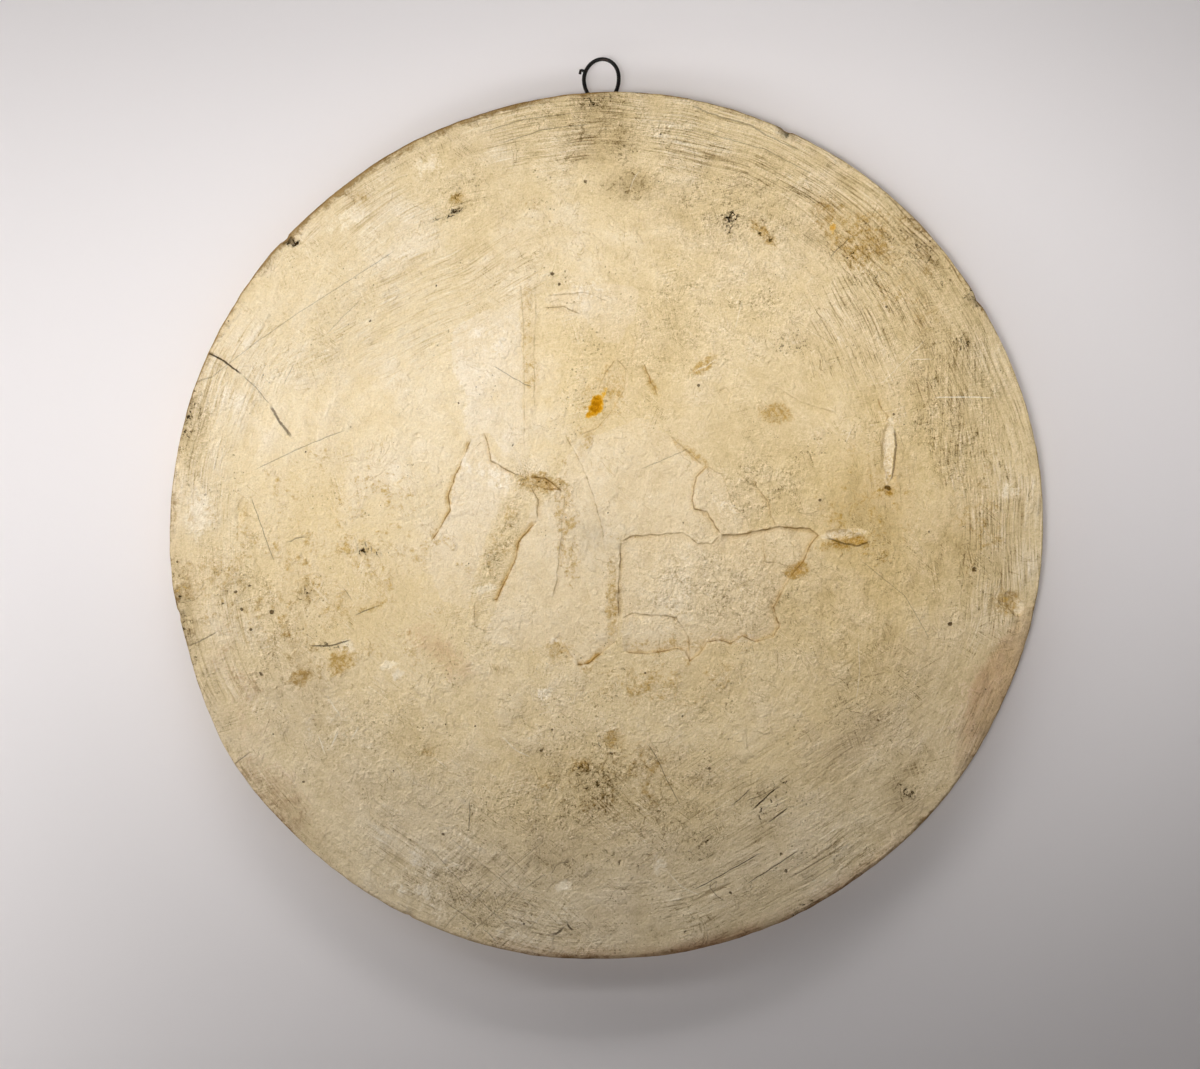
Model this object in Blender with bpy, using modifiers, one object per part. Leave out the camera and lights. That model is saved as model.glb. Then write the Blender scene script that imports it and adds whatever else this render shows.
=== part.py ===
"""A round plaster wall medallion, seen from its hand-scraped back, with a wire hanging loop.

Metres, +Z up, hanging as on its nail. The origin is where the nail bears: the inner top of the
wire loop. The back faces -Y and the moulded front faces +Y.
"""

import math

import bmesh
import bpy
from mathutils import Vector

MM = 0.001

# The cast disc
DISC_DIAMETER = 260.0 * MM
DISC_THICKNESS = 18.0 * MM
OUT_OF_ROUND = 0.9 * MM
LONG_AXIS_DEG = 28.0
ARRIS_RADIUS = 2.4 * MM
SIDE_DRAFT = 1.6 * MM
TRIM_REACH = 20.0 * MM

# The turned mouldings of the front
BEAD_RADIUS = 6.0 * MM
BEAD_SWEEP_DEG = 150.0
QUIRK_DEPTH = 2.0 * MM
QUIRK_WIDTH = 0.8 * MM
CAVETTO_RADIUS = 6.0 * MM
CAVETTO_SINK = 2.6 * MM
LISTEL_WIDTH = 2.5 * MM
LISTEL_SINK = 0.8 * MM
FIELD_DOME = 1.2 * MM

# The rosette on the front's field
PETALS = 8
PETAL_REACH = 66.0 * MM
PETAL_HEIGHT = 4.2 * MM
PETAL_TIP_FALL = 5.0 * MM
BUTTON_RADIUS = 13.0 * MM
BUTTON_HEIGHT = 5.2 * MM
BUTTON_QUIRK = 2.5 * MM

# The wire loop
WIRE_DIAMETER = 1.2 * MM
LOOP_WIDTH = 10.5 * MM
LOOP_RISE = 10.8 * MM
LOOP_CROWN = 6.0 * MM
FOOT_SPACING = 7.5 * MM
LEG_DEPTH = 8.0 * MM
LEG_TOE_IN = 0.6 * MM
SOCKET_CLEARANCE = 0.3 * MM
LOOP_LEAN = 0.35 * MM
STUB_DIAMETER = 0.9 * MM
STUB_REACH = 1.5 * MM
STUB_DROP = 1.1 * MM
STUB_BEARING_DEG = 158.0

# How the two sit together
BACK_TO_WIRE = 6.0 * MM
DISC_RIGHT_OF_LOOP = 1.5 * MM

# Where the caster's knife took the outline in or left it out: bearing, half spread, depth
OUTLINE_TRIMS = (
    (32.0, 26.0, -0.65 * MM),
    (84.0, 24.0, 0.75 * MM),
    (130.0, 15.0, -0.6 * MM),
    (196.0, 9.0, -0.75 * MM),
    (213.0, 11.0, 0.8 * MM),
    (270.0, 12.0, -0.5 * MM),
    (306.0, 10.0, -0.35 * MM),
)

# Scraped bevels along the back's edge: bearing, half spread, width, depth at the edge. Each narrows
# to this share of its width at its two ends.
SCRAPE_END_SHARE = 0.35
BACK_SCRAPES = (
    (337.0, 16.0, 11.5 * MM, 2.0 * MM),
    (112.0, 15.0, 5.0 * MM, 1.0 * MM),
    (172.0, 13.0, 5.5 * MM, 0.8 * MM),
    (285.0, 24.0, 4.0 * MM, 1.2 * MM),
)

# Chips out of the back's edge: bearing, length along the edge, depth
EDGE_CHIPS = (
    (31.5, 5.0 * MM, 1.1 * MM),
    (65.5, 5.0 * MM, 1.0 * MM),
    (138.0, 4.5 * MM, 1.2 * MM),
    (191.5, 3.5 * MM, 1.0 * MM),
    (243.0, 4.0 * MM, 0.9 * MM),
)

# Long gouges in the back: centre right and above the disc's centre, length, width, depth, turn
GOUGES = (
    (84.3 * MM, 21.7 * MM, 17.6 * MM, 4.2 * MM, 1.2 * MM, 93.0),
    (71.8 * MM, -2.8 * MM, 12.5 * MM, 4.0 * MM, 1.3 * MM, -12.0),
)

# Where the back's skin has flaked away, in millimetres right of and above the disc's centre
FLAKED_FIELD_MM = (
    (-6.3, 26.1),
    (5.6, 32.7),
    (14.5, 30.6),
    (23.2, 23.5),
    (41.4, 19.6),
    (54.8, 13.6),
    (63.7, -2.2),
    (57.5, -11.7),
    (49.4, -24.2),
    (51.2, -31.7),
    (38.1, -34.1),
    (26.2, -39.1),
    (8.3, -37.0),
    (-9.3, -40.9),
    (-16.2, -33.5),
    (-15.9, -23.6),
    (-13.5, 10.3),
)
FLAKED_FIELD_DEPTH = 0.35 * MM
DEEP_FLAKE_MM = (
    (29.7, 17.4),
    (26.0, 8.6),
    (28.8, 5.0),
    (34.2, -1.9),
    (42.9, -1.0),
    (37.5, 7.1),
    (34.0, 16.2),
)
DEEP_FLAKE_DEPTH = 0.7 * MM

# How finely the solids are faceted
TURN_STEPS = 96
BEAD_STEPS = 7
CAVETTO_STEPS = 4
ARRIS_STEPS = 3
ARCH_STEPS = 26
LEG_STEPS = 4
SOCKET_STEPS_PAST_FOOT = 4
PEBBLE_STEPS_ROUND = 16
PEBBLE_STEPS_UP = 10
SMOOTH_UP_TO_DEG = 35.0
PLAIN_RINGS = 2
PETAL_RING_SPACING = 3.4 * MM
BUTTON_RINGS = 4
SCRAPE_RINGS = (13.0 * MM, 9.0 * MM, 5.0 * MM)
CUT_MARGIN = 2.0 * MM
MERGE_DISTANCE = 0.00001

DISC_RADIUS = DISC_DIAMETER / 2
WIRE_RADIUS = WIRE_DIAMETER / 2
FOOT_ANGLE = math.acos(FOOT_SPACING / LOOP_WIDTH)
BACK_Y = -BACK_TO_WIRE
FRONT_Y = BACK_Y + DISC_THICKNESS


def smooth_step(share):
    share = min(max(share, 0.0), 1.0)
    return share * share * (3 - 2 * share)


def bearing_gap(bearing, centre):
    """Degrees between two bearings, from 0 to 180."""
    return abs((bearing - centre + 180) % 360 - 180)


def hump(bearing, centre, half_spread):
    """1 at the centre bearing, falling smoothly to 0 at the ends of the spread."""
    return smooth_step(1 - bearing_gap(bearing, centre) / half_spread)


def outline_offset(bearing):
    """How far the hand-trimmed outline stands out from a true circle at this bearing."""
    oval = OUT_OF_ROUND * math.cos(2 * math.radians(bearing - LONG_AXIS_DEG))
    return oval + sum(depth * hump(bearing, at, spread) for at, spread, depth in OUTLINE_TRIMS)


def scrape_depth(radius, bearing):
    """How far the scraped bevels lower the back at this place."""
    deepest = 0.0
    for at, spread, width, depth in BACK_SCRAPES:
        strength = hump(bearing, at, spread)
        reach = width * (SCRAPE_END_SHARE + (1 - SCRAPE_END_SHARE) * strength)
        inward = (radius - (DISC_RADIUS - reach)) / reach
        deepest = max(deepest, depth * strength * min(max(inward, 0.0), 1.0))
    return deepest


def petal_height(radius, angle):
    """The height of the nearest petal: a cupped blade with a sunk vein and a tip turned up."""
    root = BUTTON_RADIUS + BUTTON_QUIRK
    along = (radius - root) / (PETAL_REACH - root)
    if not 0 <= along < 1:
        return 0.0
    pitch = math.tau / PETALS
    offset = (angle + pitch / 2) % pitch - pitch / 2
    half_width = pitch * 0.48 * math.sqrt(1 - along**5)
    across = abs(offset) / half_width
    if across >= 1:
        return 0.0
    edge = smooth_step((1 - across) / 0.4)
    vein = 0.22 * smooth_step(1 - across / 0.3)
    cup = 0.75 + 0.25 * across * across
    tip = 0.6 + 0.4 * smooth_step((along - 0.35) / 0.5)
    fall = smooth_step((PETAL_REACH - radius) / PETAL_TIP_FALL)
    return PETAL_HEIGHT * edge * fall * (cup - vein) * tip


def rosette_height(radius, angle):
    """The rosette's height over the field: a ring of petals round a button."""
    if radius < BUTTON_RADIUS:
        return BUTTON_HEIGHT * math.sqrt(1 - (radius / BUTTON_RADIUS) ** 2)
    return petal_height(radius, angle)


def arc(centre, radius, start_deg, end_deg, steps):
    """Points along an arc in the profile's plane."""
    angles = [start_deg + (end_deg - start_deg) * i / steps for i in range(steps + 1)]
    return [
        (
            centre[0] + radius * math.cos(math.radians(a)),
            centre[1] + radius * math.sin(math.radians(a)),
        )
        for a in angles
    ]


def stations(start, end, count):
    """Evenly spaced values after the start, up to the end."""
    return [start + (end - start) * i / count for i in range(1, count + 1)]


def moulding_profile():
    """The disc's half section as (radius, y) points, from the back's centre round to the front's."""
    back = [(0.0, BACK_Y)]
    back += [(DISC_RADIUS - TRIM_REACH, BACK_Y)]
    back += [(DISC_RADIUS - inward, BACK_Y) for inward in SCRAPE_RINGS]
    arris_centre = (DISC_RADIUS - ARRIS_RADIUS, BACK_Y + ARRIS_RADIUS)
    back += arc(arris_centre, ARRIS_RADIUS, -90, 0, ARRIS_STEPS)

    bead_centre = (DISC_RADIUS - SIDE_DRAFT - BEAD_RADIUS, FRONT_Y - BEAD_RADIUS)
    bead = arc(bead_centre, BEAD_RADIUS, 0, BEAD_SWEEP_DEG, BEAD_STEPS)
    bead_end = bead[-1]

    quirk = (bead_end[0] - QUIRK_WIDTH, bead_end[1] - QUIRK_DEPTH)
    cavetto_centre = (quirk[0] - CAVETTO_RADIUS, quirk[1])
    squash = CAVETTO_SINK / CAVETTO_RADIUS
    cavetto = [
        (r, quirk[1] - (y - quirk[1]) * squash)
        for r, y in arc(cavetto_centre, CAVETTO_RADIUS, 0, 90, CAVETTO_STEPS)
    ]
    listel = (cavetto[-1][0] - LISTEL_WIDTH, cavetto[-1][1])
    field_edge = (listel[0] - LISTEL_SINK, listel[1] - LISTEL_SINK)

    petal_rings = math.ceil((PETAL_REACH - BUTTON_RADIUS) / PETAL_RING_SPACING)
    radii = stations(field_edge[0], PETAL_REACH, PLAIN_RINGS)
    radii += stations(PETAL_REACH, BUTTON_RADIUS, petal_rings)
    radii += stations(BUTTON_RADIUS, 0.0, BUTTON_RINGS)
    domes = [FIELD_DOME * (1 - (radius / field_edge[0]) ** 2) for radius in radii]
    field = [(radius, field_edge[1] + dome) for radius, dome in zip(radii, domes)]
    return back + bead + cavetto + [listel, field_edge] + field, field_edge


def new_object(name, mesh, collection):
    obj = bpy.data.objects.new(name, mesh)
    collection.objects.link(obj)
    return obj


def evaluated_mesh(obj):
    """A mesh of its own from an object as its modifiers or bevel leave it."""
    bpy.context.view_layer.update()
    graph = bpy.context.evaluated_depsgraph_get()
    return bpy.data.meshes.new_from_object(obj.evaluated_get(graph))


def turned_mesh(profile):
    """The profile turned once round the Y axis."""
    outline = bpy.data.meshes.new("profile")
    bm = bmesh.new()
    points = [bm.verts.new((radius, y, 0.0)) for radius, y in profile]
    for first, second in zip(points, points[1:]):
        bm.edges.new((first, second))
    bm.to_mesh(outline)
    bm.free()
    turning = new_object("turning", outline, bpy.context.scene.collection)
    screw = turning.modifiers.new("turn", "SCREW")
    screw.axis = "Y"
    screw.steps = TURN_STEPS
    screw.render_steps = TURN_STEPS
    screw.use_merge_vertices = True
    screw.merge_threshold = MERGE_DISTANCE
    mesh = evaluated_mesh(turning)
    bpy.data.objects.remove(turning)
    return mesh


def trim_by_hand(bm, field_edge):
    """Moves the turned disc's points to the trimmed outline, the scraped back and the rosette."""
    bead_start = FRONT_Y - BEAD_RADIUS
    middle = (BACK_Y + bead_start) / 2
    for vert in bm.verts:
        radius = math.hypot(vert.co.x, vert.co.z)
        if radius < MERGE_DISTANCE:
            if vert.co.y > middle:
                vert.co.y += rosette_height(0.0, 0.0)
            continue
        angle = math.atan2(vert.co.z, vert.co.x)
        bearing = math.degrees(angle) % 360
        if radius < field_edge[0] and vert.co.y > middle:
            vert.co.y += rosette_height(radius, angle)
            continue
        near_rim = smooth_step((radius - (DISC_RADIUS - TRIM_REACH)) / TRIM_REACH)
        near_back = 1 - smooth_step((vert.co.y - BACK_Y) / (bead_start - BACK_Y))
        if vert.co.y < middle:
            vert.co.y += scrape_depth(radius, bearing)
        grow = outline_offset(bearing) * near_rim * near_back / radius
        vert.co.x *= 1 + grow
        vert.co.z *= 1 + grow


def flatten_back(bm):
    """One flat face in place of the fan of triangles in the middle of the back."""
    bm.normal_update()
    middle = [
        face
        for face in bm.faces
        if all(
            math.hypot(v.co.x, v.co.z) < DISC_RADIUS - TRIM_REACH + MERGE_DISTANCE
            and abs(v.co.y - BACK_Y) < MERGE_DISTANCE
            for v in face.verts
        )
    ]
    bmesh.ops.dissolve_faces(bm, faces=middle, use_verts=True)


def disc_mesh():
    profile, field_edge = moulding_profile()
    mesh = turned_mesh(profile)
    bm = bmesh.new()
    bm.from_mesh(mesh)
    trim_by_hand(bm, field_edge)
    flatten_back(bm)
    bmesh.ops.recalc_face_normals(bm, faces=bm.faces)
    bm.to_mesh(mesh)
    bm.free()
    return mesh


def loop_point(angle):
    """A place on the loop's centreline: a half oval over a longer one that ends at the feet."""
    rise = math.sin(angle)
    height = LOOP_CROWN if rise > 0 else (LOOP_RISE - LOOP_CROWN) / math.sin(FOOT_ANGLE)
    x = LOOP_WIDTH / 2 * math.cos(angle) + LOOP_LEAN * max(rise, 0.0)
    return Vector((x, 0.0, WIRE_RADIUS - LOOP_CROWN + height * rise))


def loop_centreline():
    """The wire's line from its left end in the plaster, over the loop, to its right end."""
    start = math.pi + FOOT_ANGLE
    sweep = math.pi + 2 * FOOT_ANGLE
    arch = [loop_point(start - sweep * i / ARCH_STEPS) for i in range(ARCH_STEPS + 1)]
    return leg(-1, arch[0]) + arch + leg(1, arch[-1])[::-1]


def leg(side, foot):
    """One leg's points in the plaster, from its end up to just short of its foot at the rim."""
    shares = [1 - i / LEG_STEPS for i in range(LEG_STEPS)]
    inner = abs(foot.x) - LEG_TOE_IN
    return [
        Vector((side * (inner + LEG_TOE_IN * (1 - share) ** 2), 0.0, foot.z - LEG_DEPTH * share))
        for share in shares
    ]


def stub_centreline():
    """The wire's short cut end, standing out of the loop's left side with its tip turned down."""
    root = loop_point(math.radians(STUB_BEARING_DEG))
    corner = root + Vector((-STUB_REACH, 0.0, STUB_DROP * 0.3))
    rounding = corner.lerp(root, 0.25) + Vector((0.0, 0.0, STUB_DIAMETER * 0.15))
    tip = corner + Vector((-STUB_DIAMETER * 0.2, 0.0, -STUB_DROP))
    return [root, rounding, corner, tip]


def tube_mesh(name, points, radius):
    """A closed round tube along the points."""
    curve = bpy.data.curves.new(name, "CURVE")
    curve.dimensions = "3D"
    curve.bevel_depth = radius
    curve.bevel_resolution = 2
    curve.use_fill_caps = True
    spline = curve.splines.new("POLY")
    spline.points.add(len(points) - 1)
    for place, point in zip(spline.points, points):
        place.co = (*point, 1.0)
    guide = new_object(name + "_guide", curve, bpy.context.scene.collection)
    mesh = evaluated_mesh(guide)
    bpy.data.objects.remove(guide)
    bm = bmesh.new()
    bm.from_mesh(mesh)
    bmesh.ops.remove_doubles(bm, verts=bm.verts, dist=MERGE_DISTANCE)
    bmesh.ops.recalc_face_normals(bm, faces=bm.faces)
    bm.to_mesh(mesh)
    bm.free()
    return mesh


def prism_mesh(name, outline_mm, depth):
    """A flat outline in the back's plane, reaching from in front of the back to depth inside it."""
    curve = bpy.data.curves.new(name, "CURVE")
    curve.dimensions = "2D"
    curve.fill_mode = "BOTH"
    thickness = CUT_MARGIN + depth
    curve.extrude = thickness / 2
    spline = curve.splines.new("POLY")
    spline.points.add(len(outline_mm) - 1)
    for place, (x, z) in zip(spline.points, outline_mm):
        place.co = (x * MM, z * MM, 0.0, 1.0)
    spline.use_cyclic_u = True
    guide = new_object(name + "_guide", curve, bpy.context.scene.collection)
    mesh = evaluated_mesh(guide)
    bpy.data.objects.remove(guide)
    bm = bmesh.new()
    bm.from_mesh(mesh)
    for vert in bm.verts:
        vert.co = Vector((vert.co.x, BACK_Y + depth - thickness / 2 + vert.co.z, vert.co.y))
    bmesh.ops.remove_doubles(bm, verts=bm.verts, dist=MERGE_DISTANCE)
    bmesh.ops.recalc_face_normals(bm, faces=bm.faces)
    bm.to_mesh(mesh)
    bm.free()
    return mesh


def pebble_mesh(name, centre, half_sizes, turn_deg):
    """An ellipsoid lying in the back's plane, its first half size along the turned X direction."""
    mesh = bpy.data.meshes.new(name)
    bm = bmesh.new()
    bmesh.ops.create_uvsphere(
        bm, u_segments=PEBBLE_STEPS_ROUND, v_segments=PEBBLE_STEPS_UP, radius=1.0
    )
    cosine = math.cos(math.radians(turn_deg))
    sine = math.sin(math.radians(turn_deg))
    for vert in bm.verts:
        along = vert.co.x * half_sizes[0]
        across = vert.co.z * half_sizes[2]
        vert.co = Vector(
            (
                centre[0] + along * cosine - across * sine,
                centre[1] + vert.co.y * half_sizes[1],
                centre[2] + along * sine + across * cosine,
            )
        )
    bm.normal_update()
    bm.to_mesh(mesh)
    bm.free()
    return mesh


def join_or_cut(obj, mesh, collection, operation):
    """Adds a Boolean of this mesh to the object. The cutter rides with it and isn't rendered."""
    cutter = new_object(mesh.name, mesh, collection)
    cutter.parent = obj
    cutter.hide_render = True
    cutter.display_type = "WIRE"
    boolean = obj.modifiers.new(mesh.name, "BOOLEAN")
    boolean.operation = operation
    boolean.solver = "EXACT"
    boolean.object = cutter


def material(name, colour, roughness, metallic):
    made = bpy.data.materials.new(name)
    made.use_nodes = True
    shader = made.node_tree.nodes["Principled BSDF"]
    shader.inputs["Base Color"].default_value = (*colour, 1.0)
    shader.inputs["Roughness"].default_value = roughness
    shader.inputs["Metallic"].default_value = metallic
    return made


def gouge_cutters():
    """Shallow boat-shaped gouges, each the lower half of a pebble's lower half."""
    flare = 1 / math.sqrt(1 - 0.5**2)
    for number, (x, z, length, width, depth, turn) in enumerate(GOUGES, 1):
        centre = (x, BACK_Y - depth, z)
        half_sizes = (length / 2 * flare, 2 * depth, width / 2 * flare)
        yield pebble_mesh(f"gouge_{number}", centre, half_sizes, turn)


def flake_cutters():
    """The flat-bottomed hollows left where the skin has come away."""
    yield prism_mesh("flaked_field", FLAKED_FIELD_MM, FLAKED_FIELD_DEPTH)
    yield prism_mesh("deep_flake", DEEP_FLAKE_MM, DEEP_FLAKE_DEPTH)


def socket_cutters(line, disc):
    """The holes that the wire's legs stand in, each a clearance wider and deeper than its leg."""
    in_plaster = LEG_STEPS + SOCKET_STEPS_PAST_FOOT
    legs = {"left_socket": line[:in_plaster], "right_socket": line[-in_plaster:][::-1]}
    for name, leg_line in legs.items():
        route = [point - disc.location for point in leg_line]
        route[0].z -= SOCKET_CLEARANCE
        yield tube_mesh(name, route, WIRE_RADIUS + SOCKET_CLEARANCE)


def chip_cutters():
    """Knocks along the back's edge, each a pebble lying along the middle of the arris."""
    mid_arris = ARRIS_RADIUS * (1 - math.sqrt(0.5))
    for number, (bearing, length, depth) in enumerate(EDGE_CHIPS, 1):
        reach = DISC_RADIUS + outline_offset(bearing) - mid_arris
        angle = math.radians(bearing)
        centre = (reach * math.cos(angle), BACK_Y + mid_arris, reach * math.sin(angle))
        yield pebble_mesh(f"chip_{number}", centre, (length / 2, depth, depth), bearing + 90)


def build():
    for obj in list(bpy.data.objects):
        bpy.data.objects.remove(obj)
    parts = bpy.data.collections.new("plaster_medallion")
    cutters = bpy.data.collections.new("cutters")
    bpy.context.scene.collection.children.link(parts)
    bpy.context.scene.collection.children.link(cutters)

    plaster = material("old_plaster", (0.68, 0.57, 0.40), 0.85, 0.0)
    iron = material("blackened_wire", (0.02, 0.018, 0.016), 0.5, 0.9)

    top_radius = DISC_RADIUS + outline_offset(90.0)
    disc_centre_z = -(top_radius + LOOP_RISE - WIRE_RADIUS)
    disc = new_object("cast_disc", disc_mesh(), parts)
    disc.location = (DISC_RIGHT_OF_LOOP, 0.0, disc_centre_z)
    disc.data.materials.append(plaster)
    disc.data.shade_smooth()
    disc.data.set_sharp_from_angle(angle=math.radians(SMOOTH_UP_TO_DEG))

    line = loop_centreline()
    for mesh in [*flake_cutters(), *gouge_cutters(), *chip_cutters(), *socket_cutters(line, disc)]:
        join_or_cut(disc, mesh, cutters, "DIFFERENCE")

    loop = new_object("wire_loop", tube_mesh("wire_loop", line, WIRE_RADIUS), parts)
    loop.data.materials.append(iron)
    loop.data.shade_smooth()
    stub = tube_mesh("wire_stub", stub_centreline(), STUB_DIAMETER / 2)
    join_or_cut(loop, stub, cutters, "UNION")


build()
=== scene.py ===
# %% [markdown]
# # A plaster wall medallion, seen from its back
#
# The real object is a round plaster cast about 26 cm across. A loop of iron wire is set in its top
# edge, and it hangs with the moulded front outwards. Here we look at the back: flat, scraped with
# a knife and a comb, scarred where thin layers of plaster flaked off, and yellowed with age.
#
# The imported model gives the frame. It carries the true sizes, and this script adds the fine
# surface to them without moving anything.

# %% Load the frame
import math

import bmesh
import bpy
import numpy as np
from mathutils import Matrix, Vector, noise


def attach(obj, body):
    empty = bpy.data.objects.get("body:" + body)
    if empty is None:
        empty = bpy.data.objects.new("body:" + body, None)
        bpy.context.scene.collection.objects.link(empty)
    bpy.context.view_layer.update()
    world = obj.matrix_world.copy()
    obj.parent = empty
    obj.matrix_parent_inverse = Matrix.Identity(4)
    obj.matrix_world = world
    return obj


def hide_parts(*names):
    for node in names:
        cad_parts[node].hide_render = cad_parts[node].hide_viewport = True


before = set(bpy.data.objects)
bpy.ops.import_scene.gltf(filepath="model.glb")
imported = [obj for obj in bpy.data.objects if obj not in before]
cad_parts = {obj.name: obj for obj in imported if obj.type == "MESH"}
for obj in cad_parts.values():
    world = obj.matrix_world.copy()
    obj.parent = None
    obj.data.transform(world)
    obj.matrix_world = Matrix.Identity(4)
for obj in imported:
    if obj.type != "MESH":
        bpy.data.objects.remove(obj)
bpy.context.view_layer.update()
print("nodes:", sorted(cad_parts))

# %% [markdown]
# ## Where things are
#
# The origin is the inner top of the wire loop, +Z is up and the back faces -Y. Lengths below are
# in millimetres and turn into metres when a mesh is finished. A mark on the back is easiest to
# place where it was seen, so it is given by its photo pixel, and one function turns a pixel into
# millimetres right of and above the disc's centre.

# %% Sizes and the photo's scale
MM = 0.001
DISC_RADIUS = 130.0
BACK_Y = -6.0
FRONT_Y = 12.0
DISC_CENTRE_X = 1.5
OUT_OF_ROUND = 0.9
LONG_AXIS_DEG = 28.0

PIXEL_MM = 0.298
DISC_CENTRE_PIXEL = (606.2, 527.7)
PHOTO_WIDTH = 1200
PHOTO_HEIGHT = 1069


def spot(pixel):
    """Millimetres right of and above the disc's centre for a pixel of the photo."""
    return (
        (pixel[0] - DISC_CENTRE_PIXEL[0]) * PIXEL_MM,
        (DISC_CENTRE_PIXEL[1] - pixel[1]) * PIXEL_MM,
    )


print("the gouge at the right is", [round(v, 1) for v in spot((889, 455))], "mm from the centre")

# %% [markdown]
# ## The hand-trimmed outline
#
# The caster trimmed the disc's edge with a knife, so it isn't a true circle: it is slightly oval,
# and here and there the knife took more or left more. A few smooth humps around the rim describe
# this, the same ones that the solid has.

# %% Outline
OUTLINE_TRIMS = (
    (32.0, 26.0, -0.65),
    (84.0, 24.0, 0.75),
    (130.0, 15.0, -0.6),
    (196.0, 9.0, -0.75),
    (213.0, 11.0, 0.8),
    (270.0, 12.0, -0.5),
    (306.0, 10.0, -0.35),
)


def smooth_step(share):
    share = np.clip(share, 0.0, 1.0)
    return share * share * (3 - 2 * share)


def bearing_gap(bearing, centre):
    """Degrees between bearings, from 0 to 180."""
    return np.abs((bearing - centre + 180) % 360 - 180)


def hump(bearing, centre, half_spread):
    """1 at the centre bearing, falling smoothly to 0 at the ends of the spread."""
    return smooth_step(1 - bearing_gap(bearing, centre) / half_spread)


def outline_offset(bearing):
    """How far the outline stands out from a true circle, in millimetres."""
    oval = OUT_OF_ROUND * np.cos(2 * np.radians(bearing - LONG_AXIS_DEG))
    return oval + sum(depth * hump(bearing, at, spread) for at, spread, depth in OUTLINE_TRIMS)


LOOP_RISE_TO_DISC = 10.2
DISC_CENTRE_Z = -(DISC_RADIUS + float(outline_offset(90.0)) + LOOP_RISE_TO_DISC)
print("disc centre z:", round(DISC_CENTRE_Z, 2), "mm")

# %% [markdown]
# ## The mouldings
#
# Seen in section, the edge runs from a rounded arris at the back, up a slightly tapering side and
# over a fat bead. Then come a narrow quirk, a hollow cavetto and a flat listel, down to the sunk
# field. The section is a short list of points, and each becomes one ring of the disc.

# %% The edge's section, from the back's plate to the front's field
ARRIS_RADIUS = 2.4
SIDE_DRAFT = 1.6
BEAD_RADIUS = 6.0
BEAD_SWEEP_DEG = 150.0
BEAD_TUCK = 0.02
QUIRK_DEPTH = 2.0
QUIRK_WIDTH = 0.8
CAVETTO_RADIUS = 6.0
CAVETTO_SINK = 2.6
LISTEL_WIDTH = 2.5
LISTEL_SINK = 0.8
FIELD_DOME = 1.2


def arc(centre, radius, start_deg, end_deg, steps):
    """Points along an arc, without its first one."""
    angles = [math.radians(start_deg + (end_deg - start_deg) * i / steps) for i in range(1, steps + 1)]
    return [(centre[0] + radius * math.cos(a), centre[1] + radius * math.sin(a)) for a in angles]


def edge_section():
    """(radius, y) of each ring outside the plate, from the arris round to the field's edge."""
    section = arc((DISC_RADIUS - ARRIS_RADIUS, BACK_Y + ARRIS_RADIUS), ARRIS_RADIUS, -90, 0, 5)
    bead_centre = (DISC_RADIUS - SIDE_DRAFT - BEAD_RADIUS, FRONT_Y - BEAD_RADIUS - BEAD_TUCK)
    bead_start = (bead_centre[0] + BEAD_RADIUS, bead_centre[1])
    foot = section[-1]
    side_steps = 4
    for i in range(1, side_steps + 1):
        share = i / side_steps
        section.append(
            (foot[0] + (bead_start[0] - foot[0]) * share, foot[1] + (bead_start[1] - foot[1]) * share)
        )
    section += arc(bead_centre, BEAD_RADIUS, 0, BEAD_SWEEP_DEG, 9)
    quirk = (section[-1][0] - QUIRK_WIDTH, section[-1][1] - QUIRK_DEPTH)
    section.append(quirk)
    squash = CAVETTO_SINK / CAVETTO_RADIUS
    hollow = arc((quirk[0] - CAVETTO_RADIUS, quirk[1]), CAVETTO_RADIUS, 0, 90, 6)
    section += [(r, quirk[1] - (y - quirk[1]) * squash) for r, y in hollow]
    section.append((section[-1][0] - LISTEL_WIDTH, section[-1][1]))
    section.append((section[-1][0] - LISTEL_SINK, section[-1][1] - LISTEL_SINK))
    return section


SECTION = edge_section()
PLATE_RADIUS = DISC_RADIUS - ARRIS_RADIUS
FIELD_RADIUS, FIELD_Y = SECTION[-1]
print(len(SECTION), "rings, field radius", round(FIELD_RADIUS, 1), "at y", round(FIELD_Y, 1))

# %% [markdown]
# ## The rosette on the front
#
# The photo doesn't show the front, so it has a common ornament: eight cupped petals round a
# button. One function gives its height at any place.

# %% Rosette height
PETALS = 8
PETAL_REACH = 66.0
PETAL_HEIGHT = 4.2
PETAL_TIP_FALL = 5.0
BUTTON_RADIUS = 13.0
BUTTON_HEIGHT = 5.2
BUTTON_QUIRK = 2.5


def rosette_height(radius, angle):
    """Millimetres over the field, for arrays of radius and angle."""
    root = BUTTON_RADIUS + BUTTON_QUIRK
    along = np.clip((radius - root) / (PETAL_REACH - root), 0.0, 1.0)
    pitch = math.tau / PETALS
    offset = (angle + pitch / 2) % pitch - pitch / 2
    half_width = np.maximum(pitch * 0.48 * np.sqrt(1 - along**5), 1e-6)
    across = np.minimum(np.abs(offset) / half_width, 1.0)
    edge = smooth_step((1 - across) / 0.4)
    vein = 0.22 * smooth_step(1 - across / 0.3)
    tip = 0.6 + 0.4 * smooth_step((along - 0.35) / 0.5)
    fall = smooth_step((PETAL_REACH - radius) / PETAL_TIP_FALL)
    petal = PETAL_HEIGHT * edge * fall * (0.75 + 0.25 * across * across - vein) * tip
    petal *= smooth_step((radius - BUTTON_RADIUS) / BUTTON_QUIRK)
    button = BUTTON_HEIGHT * np.sqrt(np.clip(1 - (radius / BUTTON_RADIUS) ** 2, 0.0, 1.0))
    return np.maximum(petal, button)


print("rosette's highest point:", round(float(rosette_height(np.array([0.0]), np.array([0.0]))[0]), 1))

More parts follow.
